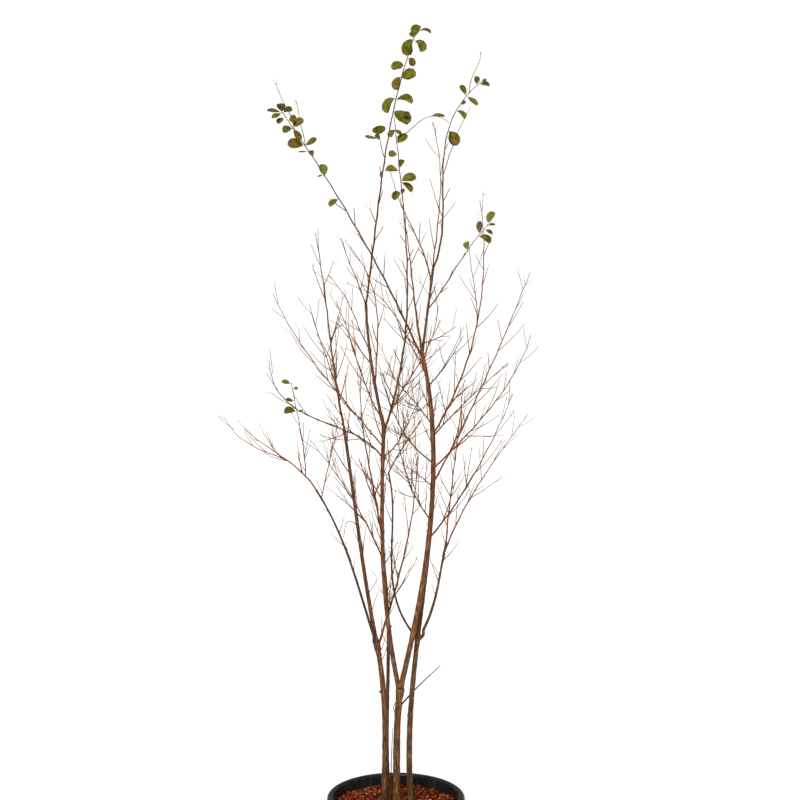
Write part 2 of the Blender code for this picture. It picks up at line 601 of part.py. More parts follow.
def grow(mass, route, seed, leaves, leafy):
    """Twigs and leaves on one curve of a mass, as lists of curves and of leaves."""
    rng = random.Random(seed)
    points, radii = curves[route]
    length = float(np.linalg.norm(np.diff(points, axis=0), axis=1).sum())
    count = int(length / TWIG_SPACING) if mass["reach"] > 0 else 0
    turn = rng.uniform(0, 2 * math.pi)
    twigs = []
    for k in range(count):
        t = TWIG_FIRST + (TWIG_LAST - TWIG_FIRST) * (k + rng.uniform(0.2, 0.8)) / count
        if leaves and t > leafy:
            continue
        turn += math.radians(TWIG_TURN + rng.uniform(-TWIG_TURN_SPREAD, TWIG_TURN_SPREAD))
        foot, along, radius = point_along(points, radii, t)
        size = mass["reach"] * (TWIG_LONG + (TWIG_SHORT - TWIG_LONG) * t) * rng.uniform(0.55, 1.15)
        for _ in range(TWIG_TRIES):
            made = twig_points(rng, foot, along, turn, size, TWIG_PIECES)
            wide = np.linspace(min(TWIG_RADIUS, radius * 0.8), TWIG_TIP_RADIUS, TWIG_PIECES + 1)
            if is_clear(made, wide, mass["name"]):
                twigs.append((made, wide))
                keep_spans(made, wide, mass["name"])
                break
            turn += math.radians(TWIG_NEXT_TURN)
            size *= TWIG_NEXT_LENGTH
    blades = []
    for k in range(leaves):
        t = leafy + (1.0 - leafy) * ((k + 0.6) / leaves) ** LEAF_CROWDING
        foot, along, radius = point_along(points, radii, t)
        sign = 1 if k % 2 else -1
        out = unit(np.array([sign, rng.uniform(-0.7, 0.7), 0.0]))
        forward = unit(out + along * 0.25 + UP * rng.uniform(-0.55, 0.35))
        normal = unit(np.array([rng.uniform(-0.5, 0.5), -0.9, rng.uniform(-0.1, 0.7)]))
        size = LEAF_LENGTH * rng.uniform(0.60, 1.15)
        root = foot - forward * radius * 0.8
        path = np.array([root, root + forward * size])
        if is_clear(path, (size * 0.3, size * 0.3), mass["name"]):
            blades.append((root, forward, normal, size))
            keep_spans(path, (size * 0.3, size * 0.3), mass["name"])
    return twigs, blades


def cutters_for(points, radii, carrier):
    """Swollen copies of the limbs that this curve starts in or brushes."""
    made = []
    for other, (other_points, other_radii, sides, axis) in finished.items():
        starts = other_points[:-1]
        ends = other_points[1:]
        near = False
        for k in range(len(points) - 1):
            if (span_distance(points[k], points[k + 1], starts, ends) < radii[k] + other_radii[:-1] + GAP).any():
                near = True
        if near or other == carrier:
            longer, wider = swollen(other_points, other_radii, GAP * 1.2)
            made.append(tube("cutter", longer, wider, sides, axis))
    return made


finished = {}
for limb in LIMBS:
    points, radii = curves[limb["name"]]
    if limb["on"] is None:
        points, radii = ground_flare(points, radii)
    sides = STEM_SIDES if limb["on"] is None else BOUGH_SIDES
    made = tube(limb["name"], points, radii, sides, limb["axis"])
    if limb["axis"] is None:
        boolean(made, "DIFFERENCE", cutters_for(points, radii, limb["on"]))
    finished[limb["name"]] = (points, radii, sides, limb["axis"])
    finish(made, bark_look)

for number, mass in enumerate(MASSES):
    points, radii = curves[mass["name"]]
    made = tube(mass["name"], points, radii, TWIGGED_SIDES, mass["axis"])
    twigs, blades = grow(mass, mass["name"], number, mass.get("leaves", 0), mass.get("leafy", 1.0))
    pieces = []
    for fork in mass.get("forks", []):
        fork_points, fork_radii = curves[fork["name"]]
        pieces.append(tube("fork", fork_points, fork_radii, TWIGGED_SIDES))
        more, extra = grow(mass, fork["name"], number + 100, fork.get("leaves", 0), fork.get("leafy", 1.0))
        twigs += more
        blades += extra
    for twig_curve, wide in twigs:
        pieces.append(tube("twig", twig_curve, wide, 3))
    for blade in blades:
        pieces.append(leaf("leaf", *blade))
    if pieces:
        boolean(made, "UNION", pieces)
    if mass["axis"] is None:
        boolean(made, "DIFFERENCE", cutters_for(points, radii, mass["on"]))
    finish(made, shoot_look if mass.get("leaves") else twig_look)
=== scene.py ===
"""A young crape myrtle with several stems, nearly bare, in a black nursery pot."""
import math
import random

import bpy
import numpy as np
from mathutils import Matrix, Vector, noise


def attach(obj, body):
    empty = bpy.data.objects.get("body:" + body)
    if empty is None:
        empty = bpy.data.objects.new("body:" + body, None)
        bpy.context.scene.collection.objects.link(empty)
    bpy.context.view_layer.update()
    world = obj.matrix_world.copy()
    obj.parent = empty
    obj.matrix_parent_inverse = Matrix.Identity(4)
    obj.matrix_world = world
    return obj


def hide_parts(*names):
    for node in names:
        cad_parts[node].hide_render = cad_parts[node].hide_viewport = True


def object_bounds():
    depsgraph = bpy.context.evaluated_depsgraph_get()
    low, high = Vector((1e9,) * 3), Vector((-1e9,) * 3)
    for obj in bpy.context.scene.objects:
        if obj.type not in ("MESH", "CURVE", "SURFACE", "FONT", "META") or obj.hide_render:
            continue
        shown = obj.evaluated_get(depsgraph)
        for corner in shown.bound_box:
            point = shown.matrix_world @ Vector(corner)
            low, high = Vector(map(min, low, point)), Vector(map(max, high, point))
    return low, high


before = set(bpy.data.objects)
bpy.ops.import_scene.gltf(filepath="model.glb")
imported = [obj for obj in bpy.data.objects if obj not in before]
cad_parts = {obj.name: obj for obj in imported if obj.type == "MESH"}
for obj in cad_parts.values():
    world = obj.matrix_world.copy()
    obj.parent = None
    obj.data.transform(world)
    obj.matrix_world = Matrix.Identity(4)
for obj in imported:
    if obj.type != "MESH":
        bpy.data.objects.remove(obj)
cad_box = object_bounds()


# The pot is a round blow-moulded nursery can of thin black plastic. Its wall widens
# upward to a skirt and a fat rolled rim, with faint moulded steps, and it has drain
# holes low on its side.
POT_HEIGHT = 0.400
POT_BASE_RADIUS = 0.180
POT_WALL = 0.003
FOOT_ROUND = 0.0055
RIM_RADIUS = 0.221
RIM_WIDTH = 0.022
RIM_SKIRT = 0.362
SKIRT_ROUND = 0.0045
RIM_OUTER_ROUND = 0.012
RIM_INNER_ROUND = 0.008
POT_SEGMENTS = 128
STEP_HEIGHT = 0.003
DRAIN_HOLES = 6
DRAIN_RADIUS = 0.009
DRAIN_HEIGHT = 0.022
DRILL_LENGTH = 0.03
SHARP_EDGE = 32
POT_BLACK = (0.006, 0.006, 0.007)
POT_SCUFF = (0.036, 0.036, 0.034)
# The height of each moulded step, and how far the wall steps out there or, below
# zero, in.
POT_STEPS = [(0.062, 0.0008), (0.264, -0.0012), (0.302, 0.0012)]


def deselect():
    bpy.ops.object.select_all(action="DESELECT")


def turned(name, profile, segments):
    """A closed round body drawn up from a disc, ring by ring, each a radius and a height."""
    deselect()
    bpy.ops.mesh.primitive_circle_add(vertices=segments, radius=profile[0][0], fill_type="NGON",
                                      location=(0, 0, profile[0][1]))
    made = bpy.context.object
    made.name = name
    bpy.ops.object.transform_apply(location=True, rotation=False, scale=False)
    bpy.ops.object.mode_set(mode="EDIT")
    bpy.ops.mesh.select_all(action="SELECT")
    bpy.ops.mesh.region_to_loop()
    for (radius, height), (next_radius, next_height) in zip(profile[:-1], profile[1:]):
        bpy.ops.mesh.extrude_edges_move(TRANSFORM_OT_translate={"value": (0, 0, next_height - height)})
        wider = next_radius / radius
        bpy.ops.transform.resize(value=(wider, wider, 1), center_override=(0, 0, next_height))
    bpy.ops.mesh.edge_face_add()
    bpy.ops.mesh.select_all(action="SELECT")
    bpy.ops.mesh.normals_make_consistent(inside=False)
    bpy.ops.object.mode_set(mode="OBJECT")
    return made


def arc(centre, radius, start, end, count):
    """Points of a round in a profile, from one angle to another in degrees."""
    angles = [math.radians(start + (end - start) * k / (count - 1)) for k in range(count)]
    return [(centre[0] + radius * math.cos(a), centre[1] + radius * math.sin(a)) for a in angles]


def wall_radius(height):
    """Outside radius of the pot's wall."""
    top = RIM_RADIUS - RIM_WIDTH + POT_WALL
    return POT_BASE_RADIUS + (top - POT_BASE_RADIUS) * height / RIM_SKIRT


def new_look(name, roughness, gloss):
    """A material with its shader and its object coordinates."""
    look = bpy.data.materials.new(name)
    look.use_nodes = True
    tree = look.node_tree
    shader = tree.nodes["Principled BSDF"]
    shader.inputs["Roughness"].default_value = roughness
    shader.inputs["Specular IOR Level"].default_value = gloss
    place = tree.nodes.new("ShaderNodeTexCoord").outputs["Object"]
    return look, tree, shader, place


def stretched(tree, place, scale):
    mapping = tree.nodes.new("ShaderNodeMapping")
    mapping.inputs["Scale"].default_value = scale
    tree.links.new(place, mapping.inputs["Vector"])
    return mapping.outputs["Vector"]


def noise_of(tree, place, scale, detail=3.0, rough=0.55):
    made = tree.nodes.new("ShaderNodeTexNoise")
    made.inputs["Scale"].default_value = scale
    made.inputs["Detail"].default_value = detail
    made.inputs["Roughness"].default_value = rough
    tree.links.new(place, made.inputs["Vector"])
    return made.outputs["Fac"]


def ramp(tree, value, stops):
    """A colour for each value, between named stops."""
    made = tree.nodes.new("ShaderNodeValToRGB")
    points = made.color_ramp.elements
    points[0].position = stops[0][0]
    points[0].color = (*stops[0][1], 1)
    points[1].position = stops[-1][0]
    points[1].color = (*stops[-1][1], 1)
    for position, colour in stops[1:-1]:
        points.new(position).color = (*colour, 1)
    tree.links.new(value, made.inputs["Fac"])
    return made.outputs["Color"]


def share_above(tree, value, start, full, most=1.0):
    """A share that rises from none, where a value passes its start, to its most."""
    return ramp(tree, value, [(start, (0, 0, 0)), (full, (most, most, most))])


def mixed(tree, share, first, second):
    """Two colours mixed by a share, each of the three a number, a colour or a socket."""
    made = tree.nodes.new("ShaderNodeMix")
    made.data_type = "RGBA"
    for socket, value in ((made.inputs[0], share), (made.inputs[6], first), (made.inputs[7], second)):
        if isinstance(value, bpy.types.NodeSocket):
            tree.links.new(value, socket)
        elif isinstance(value, tuple):
            socket.default_value = (*value, 1)
        else:
            socket.default_value = value
    return made.outputs[2]


def add_bump(tree, shader, height, strength, distance):
    bump = tree.nodes.new("ShaderNodeBump")
    bump.inputs["Strength"].default_value = strength
    bump.inputs["Distance"].default_value = distance
    tree.links.new(height, bump.inputs["Height"])
    tree.links.new(bump.outputs["Normal"], shader.inputs["Normal"])


def vary_roughness(tree, shader, value, low, high):
    spread = tree.nodes.new("ShaderNodeMapRange")
    spread.inputs["To Min"].default_value = low
    spread.inputs["To Max"].default_value = high
    tree.links.new(value, spread.inputs["Value"])
    tree.links.new(spread.outputs["Result"], shader.inputs["Roughness"])


def finish_piece(piece, look, nodes=()):
    piece.data.materials.clear()
    piece.data.materials.append(look)
    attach(piece, "root")
    if nodes:
        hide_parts(*nodes)


rim_inside = RIM_RADIUS - RIM_WIDTH
pot_profile = [(POT_BASE_RADIUS - 0.008, 0.0)]
pot_profile += arc((POT_BASE_RADIUS - FOOT_ROUND, FOOT_ROUND), FOOT_ROUND, -80, -5, 5)
for height, step in POT_STEPS:
    upper = height + STEP_HEIGHT
    pot_profile += [(wall_radius(height) - max(0, step), height), (wall_radius(upper) + min(0, step), upper)]
pot_profile += [(wall_radius(RIM_SKIRT), RIM_SKIRT - 0.001)]
pot_profile += arc((RIM_RADIUS - SKIRT_ROUND, RIM_SKIRT + SKIRT_ROUND), SKIRT_ROUND, -90, -5, 5)
pot_profile += arc((RIM_RADIUS - RIM_OUTER_ROUND, POT_HEIGHT - RIM_OUTER_ROUND), RIM_OUTER_ROUND, 0, 90, 8)
pot_profile += arc((rim_inside + RIM_INNER_ROUND, POT_HEIGHT - RIM_INNER_ROUND), RIM_INNER_ROUND, 95, 180, 7)
pot_profile += [(rim_inside - 0.0002, RIM_SKIRT + 0.008), (rim_inside - 0.0005, RIM_SKIRT - 0.010),
                (POT_BASE_RADIUS - 0.0035, 0.0060), (POT_BASE_RADIUS - 0.0065, 0.0032)]
pot = turned("pot_shell", pot_profile, POT_SEGMENTS)
for k in range(DRAIN_HOLES):
    bearing = 2 * math.pi * (k + 0.5) / DRAIN_HOLES
    out = wall_radius(DRAIN_HEIGHT)
    centre = (out * math.cos(bearing), out * math.sin(bearing), DRAIN_HEIGHT)
    deselect()
    bpy.ops.mesh.primitive_cylinder_add(vertices=20, radius=DRAIN_RADIUS, depth=DRILL_LENGTH,
                                        rotation=(0, math.pi / 2, bearing), location=centre)
    drill = bpy.context.object
    hole = pot.modifiers.new("drain", "BOOLEAN")
    hole.object = drill
    hole.operation = "DIFFERENCE"
    deselect()
    bpy.context.view_layer.objects.active = pot
    pot.select_set(True)
    bpy.ops.object.modifier_apply(modifier=hole.name)
    bpy.data.objects.remove(drill, do_unlink=True)
bpy.ops.object.shade_smooth_by_angle(angle=math.radians(SHARP_EDGE))
pot_look, tree, shader, place = new_look("black nursery plastic", 0.38, 0.32)
dust = noise_of(tree, stretched(tree, place, (30, 30, 5)), 6.0, 5.0)
scuffs = share_above(tree, dust, 0.50, 0.85)
tree.links.new(mixed(tree, scuffs, POT_BLACK, POT_SCUFF), shader.inputs["Base Color"])
vary_roughness(tree, shader, noise_of(tree, place, 60.0), 0.28, 0.50)
add_bump(tree, shader, noise_of(tree, place, 260.0, 2.0), 0.15, 0.0005)
finish_piece(pot, pot_look, ["pot"])


# The potting mix is fine red-brown pine bark. It fills the pot to a few fingers
# below its rim and lies loose on top, with paler and darker chips among the red.
MIX_TOP = 0.360
MIX_ROUGH = 0.004
MIX_WAVE = 22.0
GRAIN_ROUGH = 0.0025
GRAIN_WAVE = 90
MIX_RINGS = 30
MIX_SEGMENTS = 120
RING_WIDTH = 0.006
MIX_BROWNS = [(0.35, (0.008, 0.002, 0.001)), (0.50, (0.060, 0.010, 0.004)), (0.68, (0.150, 0.030, 0.010))]
CHIP_LENGTH = (0.004, 0.013)
CHIP_TILT = 0.45
CHIP_RISE = (-0.001, 0.0055)
# As shares of a chip's length: its width, its thickness and how rough its corners are.
CHIP_WIDTH = (0.35, 0.8)
CHIP_THICKNESS = (0.14, 0.4)
CHIP_ROUGH = 0.12
# How wide the narrow end of a chip is, as a share of the other.
CHIP_TAPER = (0.3, 1.0)
# Each kind of chip: its name, how many there are, their colour and their size.
CHIP_KINDS = [
    ("chips_red", 2500, (0.185, 0.026, 0.007), 1.0),
    ("chips_rust", 1150, (0.330, 0.076, 0.018), 1.0),
    ("chips_dark", 2700, (0.042, 0.006, 0.002), 1.1),
    ("chips_tan", 420, (0.480, 0.250, 0.120), 0.8),
    ("chips_pale", 130, (0.800, 0.680, 0.500), 0.6),
]


def mix_rise(x, y):
    """How far the mix stands above its level at a place."""
    return MIX_ROUGH * noise.noise(Vector((x, y, MIX_TOP)) * MIX_WAVE)


edge = wall_radius(MIX_TOP) - POT_WALL - 0.001
mix_profile = [(POT_BASE_RADIUS - 0.0068, 0.0036), (POT_BASE_RADIUS - 0.0036, 0.0400)]
mix_profile += [(edge - 0.001, MIX_TOP - 0.006), (edge - 0.004, MIX_TOP - 0.002)]
mix_profile += [(edge - 0.008 - RING_WIDTH * k, MIX_TOP - 0.0005) for k in range(MIX_RINGS)]
mix = turned("mix_body", mix_profile, MIX_SEGMENTS)
for vertex in mix.data.vertices:
    if vertex.co.z > MIX_TOP - 0.003:
        grain = GRAIN_ROUGH * noise.noise(vertex.co * GRAIN_WAVE)
        vertex.co.z += mix_rise(vertex.co.x, vertex.co.y) + grain - 0.001
mix.data.shade_smooth()
mix_look, tree, shader, place = new_look("damp bark mix", 0.95, 0.10)
tree.links.new(ramp(tree, noise_of(tree, place, 150.0, 4.0), MIX_BROWNS), shader.inputs["Base Color"])
add_bump(tree, shader, noise_of(tree, place, 240.0, 4.0), 0.8, 0.003)
finish_piece(mix, mix_look, ["potting_mix"])


def turn_pair(a, b, angle):
    """Two coordinates of many points turned in their plane, one angle for each chip."""
    c, s = np.cos(angle)[:, None], np.sin(angle)[:, None]
    return a * c - b * s, a * s + b * c


def array_object(name, points, faces):
    mesh = bpy.data.meshes.new(name)
    mesh.from_pydata(points, [], faces)
    mesh.update()
    made = bpy.data.objects.new(name, mesh)
    bpy.context.scene.collection.objects.link(made)
    return made


def chips(name, count, size, rng):
    """Loose chips, each a small tapered slab lying at its own tilt on the mix."""
    radius = (edge - 0.004) * np.sqrt(rng.random(count))
    bearing = rng.random(count) * 2 * math.pi
    centre = np.stack([radius * np.cos(bearing), radius * np.sin(bearing), np.zeros(count)], axis=1)
    rise = np.array([mix_rise(x, y) for x, y, _ in centre])
    centre[:, 2] = MIX_TOP + rise + rng.uniform(*CHIP_RISE, count)
    long = rng.uniform(*CHIP_LENGTH, count) * size
    wide = long * rng.uniform(*CHIP_WIDTH, count)
    thick = long * rng.uniform(*CHIP_THICKNESS, count)
    box = np.array([[x, y, z] for x in (-0.5, 0.5) for y in (-0.5, 0.5) for z in (-0.5, 0.5)])
    shape = box[None] * np.stack([long, wide, thick], axis=1)[:, None]
    shape[:, :, 1] *= np.where(box[None, :, 0] > 0, rng.uniform(*CHIP_TAPER, (count, 1)), 1.0)
    shape += rng.uniform(-CHIP_ROUGH, CHIP_ROUGH, shape.shape) * long[:, None, None]
    x, y, z = shape[..., 0], shape[..., 1], shape[..., 2]
    x, z = turn_pair(x, z, rng.normal(0, CHIP_TILT, count))
    y, z = turn_pair(y, z, rng.normal(0, CHIP_TILT, count))
    x, y = turn_pair(x, y, rng.random(count) * 2 * math.pi)
    points = (np.stack([x, y, z], axis=-1) + centre[:, None]).reshape(-1, 3)
    sides = np.array([[0, 1, 3, 2], [4, 6, 7, 5], [0, 4, 5, 1], [2, 3, 7, 6], [0, 2, 6, 4], [1, 5, 7, 3]])
    faces = (np.arange(count)[:, None, None] * 8 + sides[None]).reshape(-1, 4)
    return array_object(name, points.tolist(), faces.tolist())


chip_rng = np.random.default_rng(7)
for name, count, colour, size in CHIP_KINDS:
    piece = chips(name, count, size, chip_rng)
    look, tree, shader, place = new_look(name.replace("_", " "), 0.90, 0.06)
    dark = tuple(c * 0.40 for c in colour)
    grain = noise_of(tree, place, 320.0)
    tree.links.new(ramp(tree, grain, [(0.32, dark), (0.60, colour)]), shader.inputs["Base Color"])
    add_bump(tree, shader, noise_of(tree, place, 700.0, 2.0), 0.4, 0.001)
    finish_piece(piece, look)


# Four stems rise from the mix and carry the main boughs. Each limb is one tapering
# piece of wood that grows out of the one below, on a named curve from foot to tip.
GAP = 0.0003
LIMB_STEP = 0.065
SMOOTH_STEP = 0.007
# A limb stands on the mix, or on another limb at a height or at its tip. It bows
# sideways at one third and at two thirds of its length, and sways in depth. Across is
# its thickness at foot and tip. Its shade mixes its bark from painted shade to the lit
# colours: thin boughs behind others get dark painted shade. An elbow pushes it aside
# just past its foot.
LIMBS = [
    dict(name="stem_left", on=None, at=(-0.040, -0.010), tip=(-0.062, -0.030, 0.895),
         bow=(0.013, 0.016), across=(0.0205, 0.0160), shade=0.70),
    dict(name="stem_centre", on=None, at=(0.002, -0.004), tip=(0.014, -0.004, 0.740),
         bow=(-0.004, -0.006), across=(0.0240, 0.0205), shade=0.85),
    dict(name="stem_right", on=None, at=(0.050, 0.020), tip=(0.085, 0.018, 1.820),
         bow=(0.003, 0.045), sway=0.008, across=(0.0200, 0.0080), shade=0.60),
    dict(name="stem_back", on=None, at=(-0.021, 0.040), tip=(-0.039, 0.050, 1.120),
         bow=(-0.002, 0.008), sway=0.010, across=(0.0130, 0.0100), shade=0.45),
    dict(name="bough_left", on="stem_left", at="tip", tip=(-0.162, -0.070, 1.570),
         bow=(-0.005, -0.003), across=(0.0135, 0.0095), shade=0.50),
    dict(name="bough_outer_left", on="stem_left", at=0.880, tip=(-0.255, -0.020, 1.378),
         bow=(0.015, 0.022), sway=-0.040, across=(0.0090, 0.0055), shade=0.05, elbow=-0.006),
    dict(name="bough_centre_right", on="stem_centre", at="tip", tip=(0.082, -0.016, 1.825),
         bow=(0.051, 0.059), sway=-0.010, across=(0.0180, 0.0095), shade=1.0),
    dict(name="bough_centre_left", on="stem_centre", at=0.725, tip=(-0.039, 0.031, 1.578),
         bow=(-0.027, -0.023), across=(0.0160, 0.0115), shade=0.85),
    dict(name="bough_top", on="bough_centre_left", at="tip", tip=(-0.098, 0.050, 1.975),
         bow=(-0.009, -0.009), across=(0.0105, 0.0075), shade=0.60),
    dict(name="bough_crossing_low", on="bough_centre_right", at=0.919, tip=(-0.023, -0.090, 1.436),
         bow=(-0.039, -0.014), across=(0.0068, 0.0050), shade=0.0),
    dict(name="bough_right_upper", on="stem_right", at="tip", tip=(0.120, 0.022, 2.090),
         bow=(0.0, 0.0), across=(0.0080, 0.0070), shade=0.65),
    dict(name="bough_right_low", on="stem_right", at=0.890, tip=(0.164, 0.070, 1.200),
         bow=(0.017, 0.011), across=(0.0100, 0.0062), shade=0.35, elbow=0.009),
]


def unit(v):
    return v / np.linalg.norm(v)


def bowed(foot, tip, bow, sway, count):
    """Points of a limb from foot to tip. It bows sideways by bow[0] at one third
    of its length and bow[1] at two thirds, and in depth by sway at the middle."""
    t = np.linspace(0.0, 1.0, count)
    chord = tip - foot
    across = np.array([chord[2], 0.0, -chord[0]]) / math.hypot(chord[0], chord[2])
    # Each of the two cubics is one at its own third and none at the other and the ends.
    first = 13.5 * t * (t - 2 / 3) * (t - 1)
    second = -13.5 * t * (t - 1 / 3) * (t - 1)
    points = foot + chord * t[:, None] + across * (bow[0] * first + bow[1] * second)[:, None]
    points[:, 1] += sway * 4 * t * (1 - t)
    return points


def tangents(points):
    steps = np.gradient(points, axis=0)
    return steps / np.linalg.norm(steps, axis=1)[:, None]


def keep_spans(points, radii, owner):
    """Remember the room that a limb or twig takes, so that later ones stay clear of it."""
    for k in range(len(points) - 1):
        spans.append((points[k], points[k + 1], max(radii[k], radii[k + 1]), owner))


def curve_at_height(name, height):
    points = curves[name][0]
    t = np.interp(height, points[:, 2], np.arange(len(points)))
    low = min(int(t), len(points) - 2)
    share = t - low
    return points[low] * (1 - share) + points[low + 1] * share


def limb_curve(limb, owner, on, step):
    """Keep a limb's curve, coarse as the solids have it and again in fine steps."""
    tip = np.array(limb["tip"])
    if on is None:
        foot = np.array([*limb["at"], MIX_TOP + GAP])
    elif limb["at"] == "tip":
        carrier = curves[on][0]
        foot = carrier[-1] + tangents(carrier)[-1] * GAP
    else:
        foot = curve_at_height(on, limb["at"])
    length = float(np.linalg.norm(tip - foot))
    counts = max(4, round(length / step) + 1), max(8, int(length / SMOOTH_STEP))
    for kept, count in zip((curves, fine_curves), counts):
        radii = np.linspace(limb["across"][0], limb["across"][1], count) / 2
        kept[limb["name"]] = (bowed(foot, tip, limb["bow"], limb.get("sway", 0.0), count), radii)
    keep_spans(*curves[limb["name"]], owner)


curves = {}
fine_curves = {}
spans = []
for limb in LIMBS:
    limb_curve(limb, limb["name"], limb["on"], LIMB_STEP)


# Long whips of young wood grow on from the boughs, each the stem of one mass of twigs
# or of leaves. Some fork once or twice near their tips.
WHIP_STEP = 0.080
